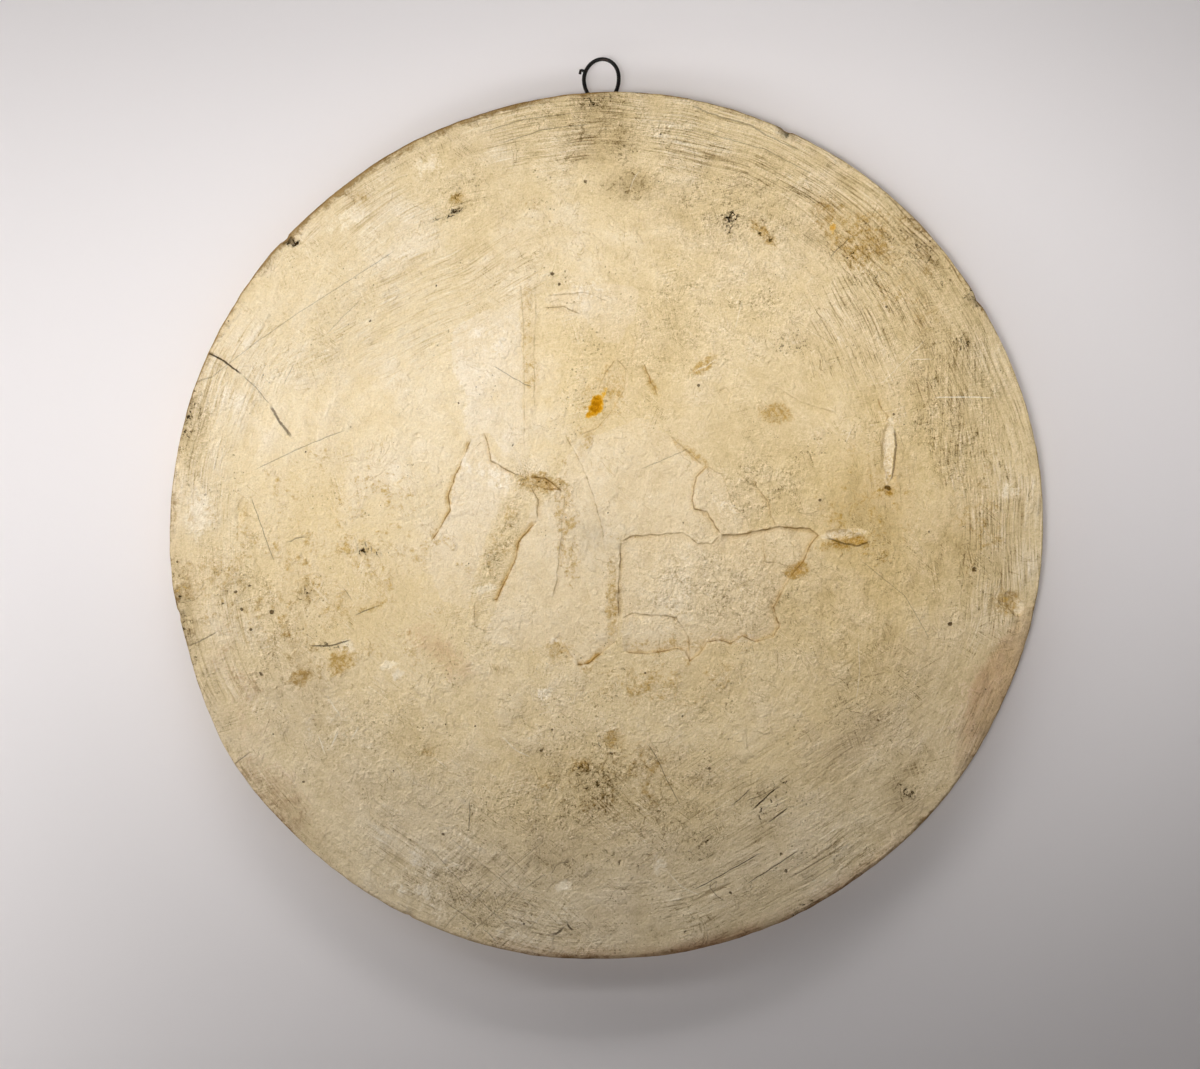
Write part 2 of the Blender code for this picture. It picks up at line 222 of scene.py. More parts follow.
# %% [markdown]
# ## Lines on the back
#
# Three kinds of line cross the back. **Steps** are the edges of flaked layers: the plaster is
# higher on one side. **Cracks** are thin dark grooves, and **scores** are shallow pale scratches.
#
# A texture image could hold them, but an image is only as sharp as its pixels. Instead each
# vertex stores its signed distance to the nearest line. Blender blends that distance evenly
# across a face, so the place where it is zero stays a clean line, however close the camera comes.
# Lines that cross or run side by side go in different sets, or their distances would mix.
#
# A step's high side lies to the left of its direction.

# %% Steps, cracks and scores, as photo pixels
STEPS_A = (
    # (height in mm, how dark its seam is, points)
    (0.4, 0.75, ((471, 439), (464, 457), (455, 475), (448, 496), (450, 510), (440, 528), (431, 542))),
    (0.4, 0.6, ((484, 432), (489, 449), (491, 461), (503, 468), (518, 476))),
    (0.45, 0.8, ((537, 520), (519, 542), (514, 563), (504, 583), (497, 599), (490, 601))),
    (0.3, 0.2, ((667, 433), (688, 452), (703, 466))),
    (0.3, 0.6, ((618, 618), (618, 590), (620, 560), (621, 542))),
    (
        0.6,
        0.6,
        (
            (720, 535), (734, 535), (749, 533), (778, 527), (810, 529), (818, 535), (810, 546),
            (803, 562), (795, 571), (784, 588), (774, 607), (779, 627), (774, 636), (755, 642),
            (742, 636), (730, 644), (720, 640), (707, 642), (699, 655), (690, 661), (684, 650),
            (676, 649), (650, 654), (623, 652),
        ),
    ),
    (0.45, 0.9, ((616, 641), (610, 645), (596, 657), (588, 664), (575, 665))),
    (0.2, 0.32, ((616, 358), (626, 369), (624, 390), (612, 411), (597, 428), (578, 436))),
    (0.12, 0.15, ((724, 542), (726, 580), (726, 621))),
    (0.2, 0.5, ((537, 520), (538, 500), (530, 486))),
    (0.15, 0.3, ((497, 630), (484, 631), (474, 626), (475, 600))),
)
STEPS_B = (
    (0.45, 0.55, ((707, 466), (696, 477), (692, 500), (694, 509), (707, 512), (721, 535))),
    (0.3, 0.2, ((707, 466), (722, 475), (732, 504), (747, 519), (749, 531))),
    (0.35, 0.4, ((754, 477), (757, 487), (768, 502), (771, 516), (778, 529))),
    (0.3, 0.4, ((621, 542), (632, 536), (684, 533), (697, 543), (711, 544), (720, 535))),
    (0.28, 0.4, ((621, 619), (632, 613), (676, 617), (688, 636), (690, 661))),
    (0.25, 0.4, ((763, 539), (765, 562), (778, 563))),
    (0.22, 0.2, ((759, 573), (745, 584), (734, 592))),
    (0.3, 0.4, ((541, 307), (564, 307), (582, 315))),
    (0.25, 0.3, ((547, 296), (585, 292), (608, 302))),
    (0.3, 0.7, ((529, 477), (545, 478), (560, 490), (545, 489), (530, 484))),
    (0.3, 0.4, ((552, 640), (560, 636), (566, 648), (575, 660))),
    (0.25, 0.5, ((877, 397), (882, 410), (888, 416), (884, 424))),
    (0.2, 0.4, ((616, 358), (606, 372), (597, 392))),
    (0.18, 0.6, ((643, 362), (650, 380), (655, 390), (658, 398))),
    (0.18, 0.25, ((774, 385), (800, 402), (834, 412), (836, 404))),
    (0.12, 0.25, ((520, 282), (523, 315), (524, 384), (524, 453))),
    (0.12, 0.22, ((534, 409), (534, 346), (536, 305), (534, 287))),
    (0.14, 0.4, ((565, 435), (581, 464), (594, 498), (602, 529), (605, 552))),
    (0.14, 0.4, ((551, 602), (556, 583), (561, 535), (565, 493))),
    (0.2, 0.3, ((718, 392), (726, 388), (731, 394), (729, 404), (721, 406))),
    (0.2, 0.3, ((630, 332), (636, 345), (630, 360))),
)
CRACKS = (
    # (half width in mm, darkness, points)
    (0.28, 0.9, ((210, 353), (222, 360), (242, 375))),
    (0.14, 0.45, ((242, 375), (256, 388), (270, 405))),
    (0.42, 0.7, ((270, 405), (279, 421), (287, 431), (292, 438))),
    (0.12, 0.35, ((198, 387), (250, 346), (300, 312), (350, 280), (394, 251))),
    (0.12, 0.45, ((492, 365), (508, 375), (524, 384), (534, 387))),
    (0.16, 0.5, ((829, 258), (840, 247), (852, 236))),
    (0.14, 0.8, ((694, 890), (727, 872), (760, 853))),
    (0.14, 0.8, ((746, 885), (772, 868), (798, 851))),
    (0.22, 0.9, ((753, 810), (766, 797), (779, 786))),
    (0.2, 0.85, ((768, 823), (780, 814), (790, 806))),
    (0.18, 0.7, ((731, 806), (742, 797), (751, 788))),
    (0.12, 0.5, ((647, 743), (656, 757), (666, 778), (672, 790), (680, 805))),
    (0.2, 0.5, ((192, 646), (205, 638), (218, 632))),
    (0.16, 0.5, ((240, 761), (255, 749))),
    (0.12, 0.5, ((251, 498), (262, 528), (274, 562))),
    (0.22, 0.45, ((287, 543), (297, 538), (308, 537))),
    (0.16, 0.55, ((353, 616), (367, 610), (381, 605))),
    (0.22, 0.7, ((310, 646), (330, 646), (351, 640))),
    (0.12, 0.4, ((342, 586), (353, 602))),
    (0.12, 0.6, ((469, 800), (470, 815), (468, 832))),
    (0.2, 0.7, ((432, 222), (443, 217))),
    (0.22, 0.8, ((448, 214), (463, 210))),
    (0.12, 0.35, ((283, 386), (294, 363))),
    (0.12, 0.3, ((326, 334), (360, 300))),
    (0.16, 0.5, ((551, 875), (556, 864), (574, 862))),
    (0.16, 0.5, ((551, 875), (553, 882))),
    (0.12, 0.5, ((708, 885), (717, 897), (727, 903))),
    (0.14, 0.35, ((790, 880), (820, 862), (850, 846))),
    (0.14, 0.4, ((446, 902), (470, 920), (498, 941))),
    (0.12, 0.3, ((440, 930), (490, 885), (548, 838))),
    (0.12, 0.3, ((468, 935), (520, 892), (570, 856))),
    (0.12, 0.3, ((430, 848), (470, 893), (520, 935))),
    (0.12, 0.28, ((450, 838), (500, 880), (540, 912))),
    (0.3, 0.6, ((894, 428), (896, 446), (894, 468), (891, 482))),
    (0.3, 0.65, ((826, 538), (842, 543), (858, 546), (871, 541))),
    (0.35, 0.8, ((549, 936), (558, 935), (564, 928))),
    (0.3, 0.75, ((566, 921), (569, 929), (574, 934))),
    (0.24, 0.7, ((357, 547), (358, 554))),
    (0.26, 0.85, ((364, 541), (366, 548))),
    (0.26, 0.75, ((371, 545), (371, 555))),
    (0.3, 0.8, ((379, 551), (382, 556))),
    (0.14, 0.4, ((255, 470), (300, 448), (345, 430))),
    (0.12, 0.35, ((640, 470), (690, 448))),
    (0.12, 0.35, ((860, 560), (905, 596), (930, 640))),
    (0.12, 0.4, ((480, 130), (520, 118), (575, 112))),
    (0.12, 0.45, ((500, 142), (545, 128), (590, 124))),
    (0.12, 0.4, ((690, 110), (750, 128), (800, 152))),
    (0.12, 0.4, ((700, 132), (765, 150), (815, 176))),
)
SCORES = (
    (0.18, 0.7, ((934, 398), (960, 397), (993, 398))),
    (0.16, 0.5, ((912, 360), (932, 359))),
    (0.14, 0.5, ((630, 190), (634, 178), (640, 170))),
    (0.2, 0.6, ((329, 700), (342, 719))),
    (0.22, 0.7, ((330, 748), (339, 730))),
    (0.2, 0.7, ((350, 740), (359, 727))),
    (0.2, 0.6, ((318, 735), (325, 755))),
    (0.16, 0.5, ((433, 757), (447, 768))),
    (0.16, 0.4, ((805, 285), (815, 275))),
    (0.14, 0.4, ((735, 330), (742, 300))),
    (0.2, 0.45, ((694, 372), (706, 366), (716, 359))),
    (0.16, 0.5, ((668, 872), (680, 886), (700, 896))),
    (0.14, 0.35, ((858, 640), (860, 670), (856, 700))),
    (0.2, 0.5, ((500, 735), (515, 750), (530, 757))),
    (0.14, 0.35, ((925, 340), (900, 365), (880, 385))),
    (0.2, 0.45, ((384, 388), (400, 371))),
)
print(len(STEPS_A + STEPS_B), "steps,", len(CRACKS), "cracks,", len(SCORES), "scores")

# %% [markdown]
# ## Distances
#
# The distance to a polyline is the least of the distances to its segments. Its sign says which
# side the vertex lies on. Numpy works out all vertices at once for one segment at a time.


# %% Distance helpers
def segment_distance(points, start, end):
    """Distance of each point to a segment, the side it lies on, and its share along the segment."""
    run = np.array(end) - np.array(start)
    out = points - np.array(start)
    share = np.clip(out @ run / (run @ run), 0.0, 1.0)
    away = out - share[:, None] * run
    side = np.sign(run[0] * out[:, 1] - run[1] * out[:, 0])
    return np.hypot(away[:, 0], away[:, 1]), np.where(side == 0, 1.0, side), share


def line_distance(points, pixels):
    """Signed distance to a polyline of photo pixels, and how far from its ends, both in mm."""
    line = [spot(p) for p in pixels]
    total = sum(math.dist(a, b) for a, b in zip(line, line[1:]))
    best = np.full(len(points), 1e9)
    signed = best.copy()
    to_end = np.zeros(len(points))
    passed = 0.0
    for start, end in zip(line, line[1:]):
        length = math.dist(start, end)
        distance, side, share = segment_distance(points, start, end)
        nearer = distance < best
        best[nearer] = distance[nearer]
        signed[nearer] = (distance * side)[nearer]
        run = passed + share * length
        to_end[nearer] = np.minimum(run, total - run)[nearer]
        passed += length
    return signed, to_end


def inside(points, pixels):
    """Signed distance to a closed outline, positive inside."""
    line = [spot(p) for p in pixels]
    best = np.full(len(points), 1e9)
    crossings = np.zeros(len(points), int)
    for start, end in zip(line, line[1:] + line[:1]):
        distance = segment_distance(points, start, end)[0]
        best = np.minimum(best, distance)
        above = (points[:, 1] < start[1]) != (points[:, 1] < end[1])
        height = end[1] - start[1] or 1e-9
        cross_x = start[0] + (points[:, 1] - start[1]) * (end[0] - start[0]) / height
        crossings += above & (points[:, 0] < cross_x)
    return np.where(crossings % 2 == 1, best, -best)


def wobble(points, size, reach, seed=0.0):
    """Smooth noise from -reach to reach, with blobs of about the given size in mm."""
    values = [noise.noise(Vector((x / size, z / size, seed))) for x, z in points]
    return reach * np.array(values)


def waved(points, size, reach):
    """The points, each nudged sideways by noise, so that what is drawn on them wavers."""
    nudge = [wobble(points, size, reach, seed) for seed in (11.3, 47.9)]
    return points + np.stack(nudge, axis=1)


crack_distance = abs(float(line_distance(np.array([[0.0, 0.0]]), CRACKS[0][2])[0][0]))
print("the first crack is", round(crack_distance, 1), "mm from the disc's centre")

# %% [markdown]
# ## The disc's mesh
#
# A disc could be spun, but spinning crowds the faces at the centre and starves the edge. A square
# grid that is pressed into a circle has even faces all over. The rings of the moulding then grow
# from its border, one extrusion each. A second grid closes the front. It is half as fine, so its
# border edges are cut in two and meet the last ring point for point. The two are then welded:
# a bridge between rings whose points don't match can twist and lay faces across the field.

# %% Grow the disc
BACK_CELLS = 160
FRONT_CELLS = BACK_CELLS // 2
FIELD_BORDER = 1.0
WELD_DISTANCE = 0.01


def square_to_disc(u, v):
    """Presses the square from -1 to 1 into the unit disc, keeping areas even."""
    if abs(u) < 1e-9 and abs(v) < 1e-9:
        return 0.0, 0.0
    if abs(u) > abs(v):
        radius, angle = u, math.pi / 4 * v / u
    else:
        radius, angle = v, math.pi / 2 - math.pi / 4 * u / v
    return radius * math.cos(angle), radius * math.sin(angle)


def add_round_plate(bm, cells, radius, y):
    """Adds a grid pressed into a disc that stands at this y, and returns its vertices."""
    made = bmesh.ops.create_grid(bm, x_segments=cells, y_segments=cells, size=1.0)["verts"]
    for vert in made:
        x, z = square_to_disc(vert.co.x, vert.co.y)
        vert.co = (x * radius, y, z * radius)
    return made


def border_edges(verts):
    return list({edge for vert in verts for edge in vert.link_edges if edge.is_boundary})


def grow_ring(bm, edges, radius, y):
    """Extrudes a ring of edges and sets the new ring at this radius and y."""
    made = bmesh.ops.extrude_edge_only(bm, edges=edges)["geom"]
    for vert in (item for item in made if isinstance(item, bmesh.types.BMVert)):
        scale = radius / math.hypot(vert.co.x, vert.co.z)
        vert.co = (vert.co.x * scale, y, vert.co.z * scale)
    return [item for item in made if isinstance(item, bmesh.types.BMEdge)]


disc_bm = bmesh.new()
ring = border_edges(add_round_plate(disc_bm, BACK_CELLS, PLATE_RADIUS, BACK_Y))
for ring_radius, ring_y in SECTION:
    ring = grow_ring(disc_bm, ring, ring_radius, ring_y)
inner_radius = FIELD_RADIUS - FIELD_BORDER
inner_border = border_edges(add_round_plate(disc_bm, FRONT_CELLS, inner_radius, FIELD_Y))
halved = bmesh.ops.subdivide_edges(disc_bm, edges=inner_border, cuts=1)["geom_split"]
inner_border = [item for item in halved if isinstance(item, bmesh.types.BMEdge) and item.is_boundary]
for vert in {vert for edge in inner_border for vert in edge.verts}:
    out = math.hypot(vert.co.x, vert.co.z)
    vert.co = (vert.co.x * inner_radius / out, FIELD_Y, vert.co.z * inner_radius / out)
ring = grow_ring(disc_bm, ring, inner_radius, FIELD_Y)
seam = {vert for edge in ring + inner_border for vert in edge.verts}
bmesh.ops.remove_doubles(disc_bm, verts=list(seam), dist=WELD_DISTANCE)
open_edges = sum(edge.is_boundary for edge in disc_bm.edges)
print("disc:", len(disc_bm.faces), "faces,", open_edges, "open edges")

# %% [markdown]
# ## More faces where the surface breaks
#
# A step half a millimetre high needs faces smaller than itself. The faces on the rosette and near
# the steps, the gouges and the wire's feet are cut in four, so that detail is spent only where it
# shows. The breaks are cut three times over, each time within a shorter reach.

# %% Refine near the breaks
GOUGES = (
    # (centre pixel, length, width, depth in mm, turn in degrees)
    ((889, 455), 17.6, 4.2, 1.2, 93.0),
    ((847, 537), 12.5, 4.0, 1.3, -12.0),
    ((795, 571), 4.2, 2.4, 1.0, 20.0),
    ((1014, 604), 8.6, 4.6, 1.2, 118.0),
    ((241, 512), 9.5, 2.6, 0.35, 78.0),
    ((888, 491), 2.0, 1.6, 0.7, 0.0),
    ((597, 405), 5.6, 3.2, 0.3, 62.0),
    ((563, 884), 5.0, 2.8, 0.35, 10.0),
)
PITS = (
    # (centre pixel, radius, depth in mm)
    ((585, 182), 0.5, 0.4),
    ((370, 321), 0.4, 0.3),
    ((731, 217), 0.6, 0.3),
    ((975, 570), 0.9, 0.4),
    ((950, 624), 0.8, 0.5),
    ((261, 674), 0.6, 0.3),
    ((305, 781), 0.4, 0.3),
    ((541, 751), 0.5, 0.3),
    ((611, 754), 0.45, 0.3),
    ((552, 274), 0.6, 0.3),
    ((559, 284), 0.5, 0.3),
    ((443, 834), 0.4, 0.3),
    ((292, 242), 0.7, 0.4),
    ((436, 286), 0.25, 0.2),
    ((512, 446), 0.4, 0.3),
    ((305, 452), 0.4, 0.3),
    ((780, 854), 0.4, 0.3),
    ((686, 934), 0.4, 0.3),
    ((731, 893), 0.5, 0.3),
    ((786, 872), 0.5, 0.3),
    ((888, 488), 0.9, 0.4),
    ((236, 592), 0.6, 0.2),
    ((222, 604), 0.45, 0.15),
    ((272, 612), 0.7, 0.2),
    ((242, 609), 0.5, 0.15),
    ((249, 586), 0.4, 0.15),
)
WIRE_FEET_X = (-3.75, 3.75)
FOOT_DIMPLE_RADIUS = 2.0
FOOT_DIMPLE_DEPTH = 0.7
ROSETTE_MARGIN = 2.0
REFINING_REACHES = ((1.5, 4.0), (0.75, 2.6), (0.3, 1.8))


def centres_of(faces):
    return np.array([face.calc_center_median()[:] for face in faces])


def near_a_break(centres, reach):
    """True where a place on the back lies within reach of a step or a gouge."""
    flat = centres[:, (0, 2)]
    near = np.zeros(len(centres), bool)
    for _, _, pixels in STEPS_A + STEPS_B:
        near |= np.abs(line_distance(flat, pixels)[0]) < reach
    for centre, length, width, _, turn in GOUGES:
        near |= gouge_share(flat, centre, length + 2 * reach, width + 2 * reach, turn) > 0
    for centre, radius, _ in PITS:
        near |= np.hypot(*(flat - np.array(spot(centre))).T) < radius + reach
    return near & (centres[:, 1] < BACK_Y + 0.5)


def gouge_share(points, centre, length, width, turn):
    """1 at a gouge's middle, falling to 0 at its rim, and below 0 outside."""
    middle = spot(centre)
    cosine, sine = math.cos(math.radians(turn)), math.sin(math.radians(turn))
    x, z = points[:, 0] - middle[0], points[:, 1] - middle[1]
    along = (x * cosine + z * sine) / (length / 2)
    across = (z * cosine - x * sine) / (width / 2)
    return 1 - along**2 - across**2


def near_a_foot(centres, reach):
    """True near the places on the rim's top where the wire goes in."""
    top = DISC_RADIUS + outline_offset(90.0)
    near = np.zeros(len(centres), bool)
    for x in WIRE_FEET_X:
        away = np.hypot(centres[:, 0] - (x - DISC_CENTRE_X), centres[:, 1])
        near |= (away < reach) & (centres[:, 2] > top - 4.0)
    return near


def refine(bm, chosen):
    """Cuts the chosen faces' edges in two, and so each face in four."""
    edges = list({edge for face, take in zip(bm.faces, chosen) if take for edge in face.edges})
    bmesh.ops.subdivide_edges(bm, edges=edges, cuts=1, use_grid_fill=True)


def on_rosette(centres):
    """True on the front where the petals and the button rise."""
    return (centres[:, 1] > 0) & (np.hypot(centres[:, 0], centres[:, 2]) < PETAL_REACH + ROSETTE_MARGIN)


refine(disc_bm, on_rosette(centres_of(disc_bm.faces)))
for break_reach, foot_reach in REFINING_REACHES:
    face_centres = centres_of(disc_bm.faces)
    refine(disc_bm, near_a_break(face_centres, break_reach) | near_a_foot(face_centres, foot_reach))
bmesh.ops.recalc_face_normals(disc_bm, faces=disc_bm.faces)
print("after refining:", len(disc_bm.faces), "faces")

# %% [markdown]
# ## Shape the surface
#
# Now every vertex moves to its true place. On the back it sinks at scrapes, gouges and pits and
# below each step, and a slow undulation keeps the trowelled face from looking ground flat. Near
# the rim the trimmed outline takes over, and on the front the rosette rises out of the field.

# %% Hollows: scrapes, gouges, chips and pits
SCRAPES = (
    # (bearing, half spread, width, depth)
    (337.0, 16.0, 11.5, 2.0),
    (112.0, 15.0, 5.0, 1.0),
    (172.0, 13.0, 5.5, 0.8),
    (285.0, 24.0, 4.0, 1.2),
)
EDGE_CHIPS = (
    # (bearing, length, depth)
    (31.5, 5.0, 1.1),
    (65.5, 5.0, 1.0),
    (138.0, 4.5, 1.2),
    (191.5, 3.5, 1.0),
    (243.0, 4.0, 0.9),
)
TRIM_REACH = 20.0
STEP_SLOPE = 0.6
STEP_DEEPEN = 1.6
STEP_FADE = 5.0
SCRAPE_END_SHARE = 0.35
CHIP_REACH = 3.2


def scrape_depth(radius, bearing):
    """How deep the knife took the back down near its edge."""
    depth = np.zeros(len(radius))
    for at, spread, width, deepest in SCRAPES:
        strength = hump(bearing, at, spread)
        reach = width * (SCRAPE_END_SHARE + (1 - SCRAPE_END_SHARE) * strength)
        inward = np.clip((radius - (DISC_RADIUS - reach)) / reach, 0.0, 1.0)
        depth += deepest * strength * inward
    return depth


def step_depth(points, steps):
    """The back's drop beside each step, fading out over the low side."""
    depth = np.zeros(len(points))
    for height, _, pixels in steps:
        signed, to_end = line_distance(points, pixels)
        low = smooth_step(0.5 - signed / STEP_SLOPE)
        fading = np.exp(-np.maximum(-signed, 0.0) / STEP_FADE)
        near = np.abs(signed) < 25.0
        drop = STEP_DEEPEN * height * near * low * fading * smooth_step(to_end / 1.5)
        depth = np.maximum(depth, drop)
    return depth


def gouge_depth(points):
    depth = np.zeros(len(points))
    for centre, length, width, deepest, turn in GOUGES:
        share = np.clip(gouge_share(points, centre, length, width, turn), 0.0, 1.0)
        depth = np.maximum(depth, deepest * np.sqrt(share))
    return depth


def pit_depth(points):
    depth = np.zeros(len(points))
    for centre, radius, deepest in PITS:
        away = np.hypot(*(points - np.array(spot(centre))).T) / radius
        depth = np.maximum(depth, deepest * (1 - smooth_step(away - 0.35)))
    return depth


def chip_depth(radius, bearing, y):
    """How far the broken spots of the arris lie inside it."""
    depth = np.zeros(len(radius))
    for at, length, deepest in EDGE_CHIPS:
        along = bearing_gap(bearing, at) * math.pi / 180 * DISC_RADIUS / (length / 2)
        low = np.hypot(np.clip(DISC_RADIUS - radius, 0, None), np.clip(y - BACK_Y, 0, None))
        low /= CHIP_REACH
        depth = np.maximum(depth, deepest * np.clip(1 - along**2 - low**2, 0.0, 1.0))
    return depth


# %% Move the vertices
plaster = np.array([v.co[:] for v in disc_bm.verts])
flat = plaster[:, (0, 2)].copy()
radius = np.hypot(flat[:, 0], flat[:, 1])
angle = np.arctan2(flat[:, 1], flat[:, 0])
bearing = np.degrees(angle) % 360
depth_in = plaster[:, 1].copy()
on_back = depth_in < BACK_Y + 0.01
near_back = depth_in < BACK_Y + ARRIS_RADIUS + 0.01
on_field = (radius < FIELD_RADIUS + 0.01) & (depth_in > 0)

wavy = waved(flat, 2.4, 0.5)
crisp = waved(wavy, 0.8, 0.12)
trowelled = wobble(flat, 30.0, 0.16) + wobble(flat, 9.0, 0.07, 3.0) + wobble(flat, 2.5, 0.02, 8.0)
sunk = step_depth(crisp, STEPS_A) + step_depth(crisp, STEPS_B)
sunk = np.maximum(sunk, gouge_depth(crisp))
sunk = np.maximum(sunk, pit_depth(wavy))
fade = smooth_step((DISC_RADIUS - 0.5 - radius) / 4.0)
plaster[:, 1] += np.where(on_back, sunk + np.abs(trowelled) * fade, 0.0)
plaster[:, 1] += np.where(near_back, scrape_depth(radius, bearing), 0.0)
rough_edge = smooth_step((radius - 118.0) / 8.0) * near_back
plaster[:, 1] += rough_edge * np.abs(wobble(flat, 4.0, 0.5, 33.0) + wobble(flat, 1.5, 0.2, 37.0))

bead_start = FRONT_Y - BEAD_RADIUS
near_rim = smooth_step((radius - (DISC_RADIUS - TRIM_REACH)) / TRIM_REACH)
toward_back = 1 - smooth_step((depth_in - BACK_Y) / (bead_start - BACK_Y))
ragged = wobble(flat, 5.0, 0.12, 21.0) + wobble(flat, 1.6, 0.05, 25.0)
crisp_arris = 0.75 - 0.45 * hump(bearing, 280.0, 70.0)
at_arris = (radius > PLATE_RADIUS - 0.01) & (depth_in < BACK_Y + ARRIS_RADIUS + 0.01)
pull = np.where(at_arris, crisp_arris, 0.0)
grow = (DISC_RADIUS - radius) * pull
plaster[:, 1] += (BACK_Y - depth_in) * pull
grow += (outline_offset(bearing) + ragged - 0.1) * near_rim * toward_back
grow -= chip_depth(radius, bearing, depth_in)
side_wobble = np.array([noise.noise(Vector(p) / 4.0) for p in plaster]) * 0.12
grow += np.where((radius > DISC_RADIUS - 2.0) & ~on_back, side_wobble - 0.08, 0.0)

for foot_x in WIRE_FEET_X:
    away = np.hypot(flat[:, 0] - (foot_x - DISC_CENTRE_X), depth_in)
    at_top = (flat[:, 1] > 0) & (radius > DISC_RADIUS - 2.0)
    grow -= np.where(
        at_top, FOOT_DIMPLE_DEPTH * (1 - smooth_step(away / FOOT_DIMPLE_RADIUS)), 0.0
    )
scale = 1 + grow / np.maximum(radius, 1.0)
plaster[:, 0] *= scale
plaster[:, 2] *= scale

dome = FIELD_DOME * (1 - (np.minimum(radius, FIELD_RADIUS) / FIELD_RADIUS) ** 2)
plaster[:, 1] += np.where(on_field, dome + rosette_height(radius, angle), 0.0)
print("deepest mark on the back:", round(float(sunk.max()), 2), "mm")
